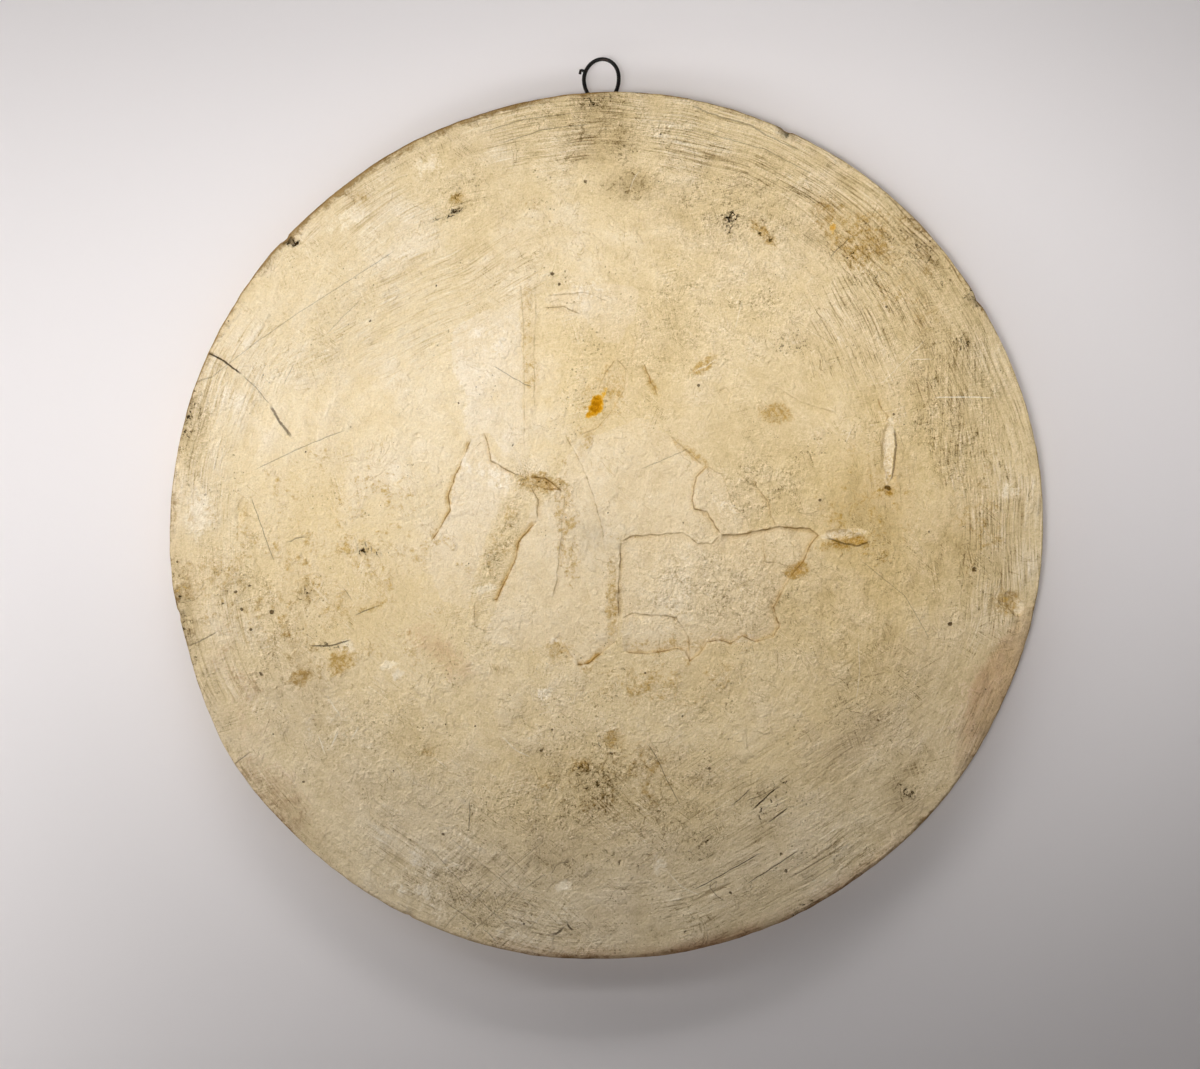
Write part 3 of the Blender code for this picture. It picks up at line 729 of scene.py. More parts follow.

# %% [markdown]
# ## Where each colour goes
#
# Age has coloured the back in patches: ochre where glue or damp soaked in, grey where grime
# rubbed in, pale where it was scuffed, and pinkish cream where the skin flaked off. Each kind is a
# list of soft ovals, and each vertex stores how much of each kind it has. The material then
# breaks their borders up with fine noise. Two more kinds are light rather than colour: a broad
# pool of painted light over the left, and painted shade, partly dirt, at the right, the bottom
# and the top.

# %% Patches of colour, as photo pixels
PATCHES = {
    # name: (centre, half length, half width, turn in degrees, strength)
    "ochre": (
        ((860, 236), 46, 28, -30, 0.7),
        ((776, 414), 16, 11, 0, 0.9),
        ((703, 365), 16, 6, 32, 1.0),
        ((340, 662), 14, 12, 60, 1.0),
        ((299, 679), 10, 8, 0, 0.9),
        ((612, 740), 11, 9, 0, 0.9),
        ((580, 766), 14, 7, 20, 0.7),
        ((357, 195), 12, 9, 0, 0.6),
        ((533, 203), 20, 8, 0, 0.5),
        ((763, 233), 17, 6, -45, 0.9),
        ((456, 199), 8, 6, 30, 1.0),
        ((870, 505), 48, 62, 0, 0.45),
        ((502, 538), 54, 12, 70, 0.4),
        ((330, 560), 170, 130, 0, 0.3),
        ((1008, 602), 14, 12, 0, 0.7),
        ((566, 520), 70, 12, 96, 0.5),
        ((600, 400), 40, 22, 60, 0.5),
        ((529, 345), 56, 8, 92, 0.5),
        ((900, 262), 60, 34, -50, 0.4),
        ((612, 600), 44, 6, 90, 0.6),
        ((650, 538), 36, 4, 0, 0.4),
        ((592, 432), 34, 5, 60, 0.5),
        ((690, 452), 26, 5, -38, 0.5),
        ((560, 650), 16, 12, 0, 0.6),
        ((654, 388), 10, 6, -45, 0.8),
        ((888, 491), 7, 6, 0, 1.0),
        ((845, 543), 24, 6, 8, 1.0),
        ((796, 571), 11, 7, 20, 1.0),
        ((429, 751), 10, 8, 0, 0.7),
        ((243, 510), 8, 14, 0, 0.6),
        ((370, 608), 18, 6, 25, 0.6),
        ((690, 645), 90, 12, 4, 0.4),
        ((660, 680), 90, 30, 0, 0.35),
        ((600, 780), 90, 40, 0, 0.3),
        ((930, 300), 60, 50, -50, 0.3),
        ((540, 483), 22, 9, -10, 0.9),
        ((980, 520), 40, 90, 0, 0.25),
    ),
    "grime": (
        ((602, 130), 34, 42, 0, 0.8),
        ((630, 186), 28, 18, 0, 0.8),
        ((195, 430), 14, 52, 0, 0.7),
        ((188, 620), 12, 60, 10, 0.7),
        ((285, 815), 52, 26, -45, 0.6),
        ((705, 847), 28, 22, 30, 0.5),
        ((640, 815), 150, 60, 10, 0.45),
        ((560, 860), 40, 20, 0, 0.5),
        ((930, 245), 62, 20, -48, 0.4),
        ((850, 720), 90, 36, 35, 0.35),
        ((596, 790), 30, 34, 0, 0.6),
        ((252, 598), 40, 22, 0, 0.25),
        ((810, 238), 6, 9, 0, 0.8),
        ((823, 238), 5, 8, 0, 0.7),
        ((700, 215), 60, 24, -20, 0.35),
        ((360, 320), 90, 60, 25, 0.3),
        ((955, 400), 50, 90, 0, 0.35),
        ((760, 190), 80, 30, -25, 0.35),
        ((900, 800), 26, 16, -35, 0.6),
        ((780, 620), 40, 30, 0, 0.25),
        ((300, 690), 70, 50, -40, 0.4),
        ((445, 800), 80, 60, 0, 0.3),
        ((240, 270), 70, 18, 50, 0.35),
        ((770, 900), 100, 26, 30, 0.4),
        ((540, 765), 30, 16, 0, 0.5),
        ((305, 594), 10, 14, 0, 0.7),
    ),
    "scuffed": (
        ((428, 166), 17, 13, 30, 0.7),
        ((339, 218), 24, 13, 30, 0.6),
        ((488, 338), 24, 14, 0, 0.4),
        ((394, 477), 8, 15, 0, 0.7),
        ((200, 516), 14, 26, 0, 0.8),
        ((563, 886), 9, 5, 0, 1.2),
        ((659, 866), 9, 11, 0, 0.7),
        ((1005, 491), 11, 8, 0, 0.9),
        ((388, 664), 9, 5, 30, 1.3),
        ((397, 676), 7, 4, 40, 1.2),
        ((545, 694), 7, 5, 0, 0.8),
        ((345, 648), 9, 6, 60, 1.2),
        ((486, 589), 11, 4, 8, 1.3),
        ((556, 641), 6, 5, 0, 0.9),
        ((588, 288), 40, 12, 0, 0.35),
        ((1018, 607), 6, 7, 0, 1.0),
        ((889, 454), 5, 28, -3, 1.3),
        ((846, 534), 22, 5, 8, 1.3),
        ((780, 170), 60, 10, -25, 0.3),
        ((735, 640), 40, 8, 0, 0.5),
        ((330, 720), 30, 22, 60, 0.4),
        ((930, 480), 40, 10, 10, 0.4),
        ((720, 500), 10, 22, 60, 0.35),
        ((430, 900), 60, 24, -35, 0.4),
        ((960, 690), 16, 50, -20, 0.35),
        ((480, 470), 12, 34, 70, 0.6),
    ),
    "rust": (
        ((596, 405), 12, 8, 65, 1.0),
        ((590, 414), 6, 3, 35, 0.9),
        ((604, 393), 9, 3, 62, 0.6),
        ((833, 227), 5, 7, 0, 0.7),
        ((183, 589), 6, 3, 20, 0.35),
        ((1007, 601), 6, 5, 0, 0.5),
    ),
    "rough": (
        ((715, 590), 100, 52, 0, 1.0),
        ((770, 490), 60, 46, 0, 0.8),
        ((650, 700), 130, 34, 0, 0.7),
        ((870, 640), 80, 110, 0, 0.7),
        ((690, 320), 120, 60, 30, 0.8),
        ((600, 790), 120, 60, 0, 0.9),
        ((500, 620), 60, 60, 0, 0.4),
        ((740, 200), 130, 60, -15, 0.8),
        ((950, 380), 60, 150, 0, 0.7),
        ((620, 120), 130, 44, 0, 0.8),
        ((240, 600), 60, 110, 0, 0.5),
        ((420, 800), 130, 90, -40, 0.6),
        ((502, 540), 54, 13, 70, 1.0),
        ((800, 830), 130, 80, 30, 0.6),
        ((540, 482), 40, 14, -10, 0.8),
        ((450, 210), 60, 30, 20, 0.4),
        ((200, 420), 22, 60, 0, 0.8),
    ),
    # Painted light: a broad pool of it over the left of the back.
    "pale": (
        ((360, 400), 190, 210, 0, 1.0),
        ((500, 250), 170, 90, 20, 0.5),
    ),
    # Painted shade, partly dirt: broad darkening at the right, the bottom and the top.
    "painted_shade_and_dirt": (
        ((880, 600), 150, 230, 10, 1.0),
        ((900, 330), 110, 170, 40, 0.8),
        ((640, 900), 240, 60, 5, 0.7),
        ((560, 190), 200, 80, 8, 0.6),
    ),
    "yellowed": (
        ((600, 390), 80, 60, 0, 0.7),
        ((900, 530), 110, 130, 0, 1.0),
        ((330, 560), 130, 110, 0, 0.8),
    ),
    "pink": (
        ((440, 650), 36, 14, -45, 0.8),
        ((975, 700), 26, 70, -20, 0.4),
        ((280, 800), 50, 26, -50, 0.6),
        ((240, 690), 20, 60, 20, 0.4),
    ),
}
SOOT = (
    # small black flecks: (centre, half length, half width, turn, strength)
    ((731, 218), 9, 7, 0, 1.25),
    ((729, 231), 6, 5, 0, 1.2),
    ((756, 228), 18, 5, -45, 0.7),
    ((770, 239), 8, 5, -30, 0.9),
    ((447, 216), 22, 4, 22, 1.0),
    ((456, 209), 8, 4, 20, 1.0),
    ((456, 199), 6, 5, 20, 0.8),
    ((292, 242), 8, 4, 20, 1.2),
    ((364, 549), 8, 7, 0, 1.0),
    ((378, 552), 5, 6, 0, 0.9),
    ((600, 104), 26, 6, 0, 0.8),
    ((625, 150), 12, 14, 0, 0.7),
    ((560, 130), 30, 20, 0, 0.35),
    ((192, 420), 8, 44, -15, 0.75),
    ((188, 620), 7, 60, 12, 0.65),
    ((215, 690), 10, 50, 25, 0.5),
    ((922, 262), 44, 18, -48, 0.6),
    ((890, 240), 30, 18, -45, 0.5),
    ((975, 300), 20, 12, -55, 0.8),
    ((900, 210), 50, 8, -42, 0.5),
    ((790, 348), 26, 9, 5, 0.6),
    ((690, 335), 30, 20, 60, 0.4),
    ((862, 270), 40, 22, -50, 0.5),
    ((965, 345), 16, 10, -30, 0.8),
    ((600, 745), 14, 18, 0, 0.6),
    ((580, 768), 16, 6, 20, 0.8),
    ((590, 800), 26, 30, 0, 0.6),
    ((705, 845), 24, 18, 30, 0.55),
    ((775, 800), 36, 20, 40, 0.6),
    ((905, 792), 16, 8, -35, 0.9),
    ((800, 912), 20, 6, 35, 0.8),
    ((635, 850), 60, 30, 20, 0.45),
    ((240, 600), 26, 14, 0, 0.4),
    ((305, 594), 8, 10, 0, 0.7),
    ((496, 560), 34, 9, 70, 0.45),
    ((538, 482), 20, 6, -12, 0.6),
    ((640, 668), 60, 12, 0, 0.4),
    ((790, 590), 10, 40, 30, 0.5),
    ((510, 700), 30, 20, -30, 0.4),
    ((345, 745), 60, 30, -45, 0.35),
    ((980, 560), 30, 50, 0, 0.45),
    ((330, 646), 22, 4, 5, 0.9),
    ((558, 280), 12, 8, 0, 0.6),
    ((450, 740), 60, 30, -30, 0.3),
    ((960, 440), 30, 40, 0, 0.4),
    ((660, 190), 70, 34, -15, 0.35),
    ((330, 330), 60, 40, 30, 0.3),
)
FLAKED = (
    (
        (612, 430), (640, 417), (667, 433), (703, 466), (692, 500), (707, 512), (721, 535),
        (684, 533), (632, 536), (621, 542), (618, 618), (616, 641), (596, 657), (575, 665),
        (560, 640), (522, 652), (484, 640), (498, 598), (515, 560), (528, 516), (548, 500),
        (560, 470), (578, 440),
    ),
    (
        (452, 330), (478, 312), (518, 304), (521, 345), (522, 400), (523, 440), (505, 455),
        (488, 432), (470, 437), (462, 420), (470, 400), (452, 370),
    ),
    (
        (540, 300), (575, 285), (612, 283), (640, 290), (634, 318), (618, 345), (600, 340),
        (585, 318), (560, 308),
    ),
    (
        (707, 466), (722, 475), (732, 504), (747, 519), (749, 531), (721, 535), (707, 512),
        (694, 500), (696, 480),
    ),
    (
        (621, 542), (632, 536), (684, 533), (720, 535), (778, 527), (818, 535), (803, 562),
        (784, 588), (774, 607), (779, 627), (755, 642), (707, 642), (690, 661), (676, 649),
        (623, 652),
    ),
    (
        (471, 439), (484, 432), (489, 449), (500, 465), (514, 478), (491, 524), (474, 580),
        (468, 610), (440, 600), (425, 560), (431, 542), (450, 510), (455, 475),
    ),
)
COMBED = {
    # name: (centre, half length, half width, turn in degrees, strength)
    "comb_27": (((430, 300), 130, 60, 27, 1.0), ((300, 350), 60, 40, 35, 0.5)),
    "comb_65": (((866, 320), 60, 80, 0, 1.0), ((800, 300), 60, 60, 0, 0.4)),
    "comb_90": (
        ((962, 405), 42, 90, 0, 1.0),
        ((1000, 540), 38, 90, 0, 1.0),
        ((880, 480), 40, 60, 0, 0.5),
    ),
    "comb_32": (
        ((790, 810), 150, 110, 30, 0.75),
        ((880, 700), 90, 70, 30, 0.6),
        ((620, 840), 60, 60, 0, 0.5),
        ((700, 760), 60, 50, 30, 0.7),
    ),
    "comb_45": (((500, 890), 120, 60, -30, 0.6), ((400, 800), 90, 60, -40, 0.4)),
    "comb_135": (
        ((520, 900), 110, 60, -20, 0.6),
        ((620, 810), 40, 50, 0, 0.8),
        ((430, 760), 60, 60, 0, 0.4),
    ),
}


def oval(points, centre, half_length, half_width, turn):
    """1 in an oval's middle, 0.5 at its rim and 0 well outside."""
    middle = spot(centre)
    cosine, sine = math.cos(math.radians(turn)), math.sin(math.radians(turn))
    x, z = points[:, 0] - middle[0], points[:, 1] - middle[1]
    along = (x * cosine + z * sine) / (half_length * PIXEL_MM)
    across = (z * cosine - x * sine) / (half_width * PIXEL_MM)
    return smooth_step(1.25 - 0.75 * np.hypot(along, across))


def painted(points, ovals):
    """The strongest of the ovals at each point."""
    amount = np.zeros(len(points))
    for centre, half_length, half_width, turn, strength in ovals:
        amount = np.maximum(amount, strength * oval(points, centre, half_length, half_width, turn))
    return amount


# %% [markdown]
# ## Store the marks on the mesh
#
# Each attribute is one number per vertex. The patches and lines are on the back alone, and the
# edge's dirt, which is thickest at the upper left, fades out over the side.

# %% Attributes
marks = {}
for name, ovals in {**PATCHES, **COMBED}.items():
    marks[name] = painted(wavy, ovals) * near_back
bare = np.full(len(flat), -1e9)
for outline in FLAKED:
    bare = np.maximum(bare, inside(crisp, outline))
marks["bare"] = smooth_step(bare / 1.5 + 0.5) * near_back
marks["soot"] = painted(wavy, SOOT) * near_back
marks["pit"] = np.zeros(len(flat))
for centre, pit_radius, _ in PITS:
    away = np.hypot(*(crisp - np.array(spot(centre))).T) / pit_radius
    marks["pit"] = np.maximum(marks["pit"], smooth_step((1.25 - away) / 0.6))
soiled_side = 0.45 + 0.75 * hump(bearing, 125.0, 65.0) * toward_back
marks["edge_dirt"] = smooth_step((radius - 126.2) / 2.2) * soiled_side
marks["faded"] = smooth_step((radius - 80.0) / 30.0) * hump(bearing, 270.0, 125.0)
marks["scored_rim"] = smooth_step((radius - 106.0) / 10.0) * hump(bearing, 62.0, 55.0) * near_back
# Painted shade: the rim at the bottom and lower right is darkened and made browner.
marks["shaded_bottom_rim"] = smooth_step((radius - 125.0) / 3.5) * hump(bearing, 284.0, 46.0)
marks["scraped"] = smooth_step(scrape_depth(radius, bearing) / 0.25) * hump(bearing, 337.0, 22.0)


SEAM_HALF_WIDTH = 0.2


def nearest_line(points, lines):
    """For a set of lines: the distance in line widths, and the mask of the nearest one."""
    best = np.full(len(points), 1e9)
    signed_best = np.full(len(points), 20.0)
    mask = np.zeros(len(points))
    for half_width, strength, pixels in lines:
        signed, to_end = line_distance(points, pixels)
        nearer = np.abs(signed) < best
        best[nearer] = np.abs(signed)[nearer]
        signed_best[nearer] = np.clip(signed / half_width, -20, 20)[nearer]
        near = smooth_step((3.2 - np.abs(signed)) / 0.8)
        mask[nearer] = (strength * near * smooth_step(to_end / 1.6))[nearer]
    return signed_best, mask


line_sets = {
    "crack_a": CRACKS[0::2],
    "crack_b": CRACKS[1::2],
    "score": SCORES,
    "seam_a": [(SEAM_HALF_WIDTH, dark, pixels) for _, dark, pixels in STEPS_A],
    "seam_b": [(SEAM_HALF_WIDTH, dark, pixels) for _, dark, pixels in STEPS_B],
}
for name, lines in line_sets.items():
    marks[name], marks[name + "_mask"] = nearest_line(waved(flat, 2.4, 0.25), lines)
    marks[name + "_mask"] *= near_back
marks["rim"] = radius
print("attributes:", ", ".join(sorted(marks)))

# %% Finish the mesh
for vert, place in zip(disc_bm.verts, plaster):
    vert.co = (
        (place[0] + DISC_CENTRE_X) * MM,
        place[1] * MM,
        (place[2] + DISC_CENTRE_Z) * MM,
    )
for face in disc_bm.faces:
    face.smooth = True
disc_mesh = bpy.data.meshes.new("plaster_disc")
disc_bm.to_mesh(disc_mesh)
disc_bm.free()
for name, values in marks.items():
    layer = disc_mesh.attributes.new(name, "FLOAT", "POINT")
    layer.data.foreach_set("value", values.astype(np.float32))
plaster_disc = bpy.data.objects.new("plaster_disc", disc_mesh)
bpy.context.scene.collection.objects.link(plaster_disc)
triangles = sum(len(p.vertices) - 2 for p in disc_mesh.polygons)
print("plaster disc:", triangles, "triangles")

# %% [markdown]
# ## Helpers for materials
#
# A material is a graph of nodes. Written out one by one it gets long, so these helpers add a node,
# set or wire its inputs, and hand back its output.


# %% Node helpers
def linear(*srgb):
    """A colour given as 0 to 255 on a screen, as the linear values that nodes use."""
    values = [v / 255 for v in srgb]
    return (*(v / 12.92 if v < 0.04045 else ((v + 0.055) / 1.055) ** 2.4 for v in values), 1.0)


def add(tree, kind, inputs=(), **settings):
    """Adds a node, sets its settings, then sets or wires its inputs."""
    node = tree.nodes.new("ShaderNode" + kind)
    for key, value in settings.items():
        setattr(node, key, value)
    for key, value in dict(inputs).items():
        if isinstance(value, bpy.types.NodeSocket):
            tree.links.new(value, node.inputs[key])
        else:
            node.inputs[key].default_value = value
    return node


def maths(tree, operation, *values):
    return add(tree, "Math", enumerate(values), operation=operation).outputs[0]


def ramp(tree, value, low, high, to_low=0.0, to_high=1.0):
    """A smooth change from to_low to to_high as the value goes from low to high."""
    inputs = {"Value": value, "From Min": low, "From Max": high, "To Min": to_low, "To Max": to_high}
    return add(tree, "MapRange", inputs, interpolation_type="SMOOTHSTEP").outputs[0]


def blend(tree, factor, under, over, how="MIX"):
    node = add(tree, "Mix", {0: factor, 6: under, 7: over}, data_type="RGBA", blend_type=how)
    return node.outputs[2]


def grain(tree, place, size, detail=2.0, roughness=0.5, distortion=0.0):
    """Noise from 0 to 1, with blobs of about this size in millimetres."""
    inputs = {
        "Vector": place,
        "Scale": 1.0 / size,
        "Detail": detail,
        "Roughness": roughness,
        "Distortion": distortion,
    }
    return add(tree, "TexNoise", inputs).outputs[0]


def stored(tree, name):
    return add(tree, "Attribute", attribute_name=name).outputs["Fac"]


def strokes(tree, place, turn_deg, length, width, detail=3.0):
    """Noise drawn out into strokes of this length and width that rise at this angle."""
    inputs = {
        "Vector": place,
        "Rotation": (0.0, -math.radians(turn_deg), 0.0),
        "Scale": (length, length, width),
    }
    drawn_out = add(tree, "Mapping", inputs, vector_type="TEXTURE").outputs[0]
    return grain(tree, drawn_out, 1.0, detail=detail, roughness=0.6)


def new_material(name):
    """An empty material's node tree, its Principled shader, and places in millimetres."""
    made = bpy.data.materials.new(name)
    made.use_nodes = True
    tree = made.node_tree
    shader = tree.nodes["Principled BSDF"]
    metres = add(tree, "TexCoord").outputs["Object"]
    place = add(tree, "VectorMath", {0: metres, "Scale": 1000.0}, operation="SCALE").outputs[0]
    return made, tree, shader, place


# %% [markdown]
# ## The plaster's colours
#
# The cream ground has a lightness that wavers at four sizes, from clouds a hand wide down to the
# grain. One color ramp turns that lightness into colour for the old skin and another for the
# bare, pinker plaster under it. The stored patches push the lightness up or down first, so that
# their borders take on the grain instead of looking sprayed.

# %% Plaster material: noises
plaster_material, tree, shader, place = new_material("aged_plaster_back")
clouds = grain(tree, place, 34.0, detail=3.0)
mottle = grain(tree, place, 9.0, detail=5.0, roughness=0.62)
blotches = grain(tree, place, 2.6, detail=4.0, roughness=0.7, distortion=0.6)
tooth = grain(tree, place, 0.75, detail=3.0, roughness=0.7)
flecks = grain(tree, place, 1.5, detail=5.0, roughness=0.75, distortion=1.0)
crust = grain(tree, place, 1.0, detail=4.0, roughness=0.85, distortion=0.6)
grit = grain(tree, place, 0.55, detail=1.0, roughness=0.8)
patchy = grain(tree, place, 4.5, detail=3.0, roughness=0.6)


def added(first, second):
    return maths(tree, "ADD", first, second)


def times(first, second):
    return maths(tree, "MULTIPLY", first, second)


def most(first, second):
    """The larger of two values."""
    return maths(tree, "MAXIMUM", first, second)


def plus(total, value, share):
    """The total with this share of a value added to it."""
    return maths(tree, "MULTIPLY_ADD", value, share, total)


def uneven(value, share):
    """A noise's swing to either side of its middle, times share."""
    return maths(tree, "MULTIPLY_ADD", value, share, -0.5 * share)


fray = added(uneven(blotches, 2.2), uneven(tooth, 0.9))
fray = added(fray, uneven(mottle, 1.4))


def frayed(name, soft=0.5):
    """A stored patch whose border is broken up by the noise."""
    spread = added(stored(tree, name), fray)
    present = ramp(tree, stored(tree, name), 0.02, 0.25)
    return times(ramp(tree, spread, 0.5 - soft / 2, 0.6 + soft / 2), present)


ochre = frayed("ochre", 0.6)
grime = frayed("grime", 0.9)
scuffed = frayed("scuffed", 0.3)
pink = frayed("pink", 0.9)
bare = ramp(tree, added(stored(tree, "bare"), times(fray, 0.3)), 0.35, 0.65)

# %% Combing
comb_turns = {
    "comb_27": 27.0,
    "comb_65": -65.0,
    "comb_90": 90.0,
    "comb_32": 32.0,
    "comb_45": 45.0,
    "comb_135": -42.0,
}
waver = add(tree, "TexNoise", {"Vector": place, "Scale": 0.03, "Detail": 1.0}).outputs["Color"]
waver = add(tree, "VectorMath", {0: waver, "Scale": 5.0}, operation="SCALE").outputs[0]
waved_place = add(tree, "VectorMath", {0: place, 1: waver}, operation="ADD").outputs[0]
grooves = None
for name, turn in comb_turns.items():
    stroke = strokes(tree, waved_place, turn, 13.0, 0.5)
    amount = times(stored(tree, name), maths(tree, "SUBTRACT", stroke, 0.5))
    grooves = amount if grooves is None else added(grooves, amount)
centred = add(
    tree, "Mapping", {"Vector": waved_place, "Location": (-DISC_CENTRE_X, 0.0, -DISC_CENTRE_Z)}
).outputs[0]
outward = add(tree, "VectorMath", {0: centred}, operation="NORMALIZE").outputs[0]
reach = add(tree, "VectorMath", {0: centred}, operation="LENGTH").outputs["Value"]
turned = add(tree, "VectorMath", {0: outward, "Scale": 9.0}, operation="SCALE").outputs[0]
lifted = add(tree, "CombineXYZ", {1: times(reach, 1.9)}).outputs[0]
around = add(tree, "VectorMath", {0: turned, 1: lifted}, operation="ADD").outputs[0]
wide_turned = add(tree, "VectorMath", {0: outward, "Scale": 5.0}, operation="SCALE").outputs[0]
wide_lifted = add(tree, "CombineXYZ", {1: times(reach, 0.16)}).outputs[0]
wide_around = add(tree, "VectorMath", {0: wide_turned, 1: wide_lifted}, operation="ADD").outputs[0]
smears = grain(tree, wide_around, 1.0, detail=6.0, roughness=0.68, distortion=0.4)
arcs = grain(tree, around, 1.0, detail=3.0, roughness=0.6)
arc_mask = ramp(tree, stored(tree, "rim"), 92.0, 116.0, 0.1, 1.0)
arc_mask = times(arc_mask, ramp(tree, clouds, 0.4, 0.6, 0.25, 1.0))
arc_mask = plus(arc_mask, stored(tree, "scored_rim"), 0.9)
grooves = added(grooves, times(arc_mask, uneven(arcs, 1.0)))
worn = ramp(tree, mottle, 0.35, 0.6, 0.35, 1.0)
dark_groove = times(ramp(tree, grooves, 0.03, 0.13), worn)
pale_groove = times(ramp(tree, grooves, -0.04, -0.15), worn)

# %% Scratches
skins = grain(tree, place, 13.0, detail=4.0, roughness=0.6, distortion=1.2)
scratched = None
for turn, mask in (
    (14.0, ramp(tree, skins, 0.5, 0.58)),
    (-38.0, ramp(tree, skins, 0.5, 0.42)),
    (66.0, ramp(tree, smears, 0.48, 0.6)),
    (-72.0, ramp(tree, smears, 0.52, 0.42)),
):
    stroke = strokes(tree, waved_place, turn, 13.0, 0.3, detail=2.0)
    amount = times(mask, maths(tree, "SUBTRACT", stroke, 0.5))
    scratched = amount if scratched is None else added(scratched, amount)
busy = ramp(tree, grain(tree, place, 24.0, detail=3.0, roughness=0.6), 0.42, 0.58, 0.25, 1.0)
busy = times(busy, maths(tree, "MULTIPLY_ADD", stored(tree, "bare"), -0.5, 1.0))
busy = most(busy, times(stored(tree, "rough"), 0.8))
dark_scratch = times(ramp(tree, scratched, 0.13, 0.19), busy)
pale_scratch = times(ramp(tree, scratched, -0.13, -0.19), busy)

# %% Flecks, wrinkles and lines
dirty = added(flecks, times(stored(tree, "grime"), 0.09))
dirty = plus(dirty, stored(tree, "soot"), 0.1)
dirty = plus(dirty, bare, -0.06)
dirty = plus(dirty, stored(tree, "ochre"), 0.04)
dark_flecks = ramp(tree, dirty, 0.63, 0.75)
sooty = added(flecks, times(stored(tree, "soot"), 0.19))
black_flecks = times(ramp(tree, sooty, 0.7, 0.77), ramp(tree, stored(tree, "soot"), 0.2, 0.6))
rubbed = maths(tree, "SUBTRACT", 1.0, flecks)
rubbed = plus(rubbed, stored(tree, "scuffed"), 0.12)
rubbed = plus(rubbed, stored(tree, "soot"), 0.05)
pale_flecks = ramp(tree, rubbed, 0.62, 0.74)

skin_edge = maths(tree, "ABSOLUTE", uneven(skins, 1.0))
skin_here = ramp(tree, added(mottle, times(clouds, 0.4)), 0.68, 0.8)
wrinkles = times(ramp(tree, skin_edge, 0.009, 0.002), skin_here)

specks = add(tree, "TexVoronoi", {"Vector": place, "Scale": 0.6}, feature="F1").outputs["Distance"]
speck_size = ramp(tree, grain(tree, place, 12.0, detail=3.0), 0.42, 0.72, 0.0, 0.2)
speck_size = times(speck_size, ramp(tree, tooth, 0.3, 0.6, 0.2, 1.3))
speck = maths(tree, "LESS_THAN", specks, speck_size)
dots = add(tree, "TexVoronoi", {"Vector": place, "Scale": 0.16}, feature="F1").outputs["Distance"]
dot = maths(tree, "LESS_THAN", dots, ramp(tree, mottle, 0.45, 0.65, 0.0, 0.08))


def line(name, jitter=1.5):
    """1 on a stored line and 0 beside it, with a slightly ragged border."""
    distance = maths(tree, "ABSOLUTE", stored(tree, name))
    distance = added(distance, uneven(tooth, jitter))
    return times(ramp(tree, distance, 1.3, 0.5), stored(tree, name + "_mask"))


def step_shadow_and_dirt(name):
    """Painted shadow and dirt along a step, widest on its low side where the high side's shadow falls.
    """
    distance = added(stored(tree, name), uneven(blotches, 9.0))
    on_low_side = ramp(tree, distance, -9.0, -0.5)
    on_high_side = ramp(tree, distance, 4.0, 0.0)
    amount = times(on_low_side, on_high_side)
    amount = times(amount, ramp(tree, patchy, 0.38, 0.6, 0.3, 1.3))
    strength = maths(tree, "POWER", stored(tree, name + "_mask"), 2.0)
    return times(amount, strength)


def painted_lip_highlight(name):
    """A painted highlight: a thin pale band along a step's high side, where its edge catches the light.
    """
    distance = added(stored(tree, name), uneven(tooth, 2.0))
    amount = times(ramp(tree, distance, 0.3, 1.6), ramp(tree, distance, 5.0, 2.0))
    return times(amount, stored(tree, name + "_mask"))


cracks = most(line("crack_a"), line("crack_b"))
scores = line("score")
seams = most(line("seam_a"), line("seam_b"))
seams = times(seams, ramp(tree, patchy, 0.36, 0.58, 0.25, 1.1))
step_shadows_and_dirt = most(step_shadow_and_dirt("seam_a"), step_shadow_and_dirt("seam_b"))
# A painted highlight along the high side of each step, broken up by noise.
painted_lip_highlights = times(most(painted_lip_highlight("seam_a"), painted_lip_highlight("seam_b")), ramp(tree, patchy, 0.62, 0.42))
pits = ramp(tree, added(stored(tree, "pit"), uneven(crust, 4.0)), 0.45, 0.75)
pits = times(pits, ramp(tree, stored(tree, "pit"), 0.02, 0.3))

crusted = most(stored(tree, "soot"), step_shadows_and_dirt)
crusted = most(crusted, times(stored(tree, "ochre"), 0.6))
rough = times(stored(tree, "rough"), ramp(tree, patchy, 0.38, 0.6, 0.25, 1.15))
crusted = most(crusted, rough)
crusted = most(crusted, ramp(tree, smears, 0.55, 0.72, 0.0, 0.6))
crumbs = plus(crust, crusted, 0.1)
crumbs = times(ramp(tree, crumbs, 0.62, 0.7), ramp(tree, crusted, 0.0, 0.3, 0.35, 1.0))
crumbs = times(crumbs, busy)
chalk = maths(tree, "SUBTRACT", 1.0, crust)
chalk = times(ramp(tree, plus(chalk, crusted, 0.05), 0.64, 0.74), busy)

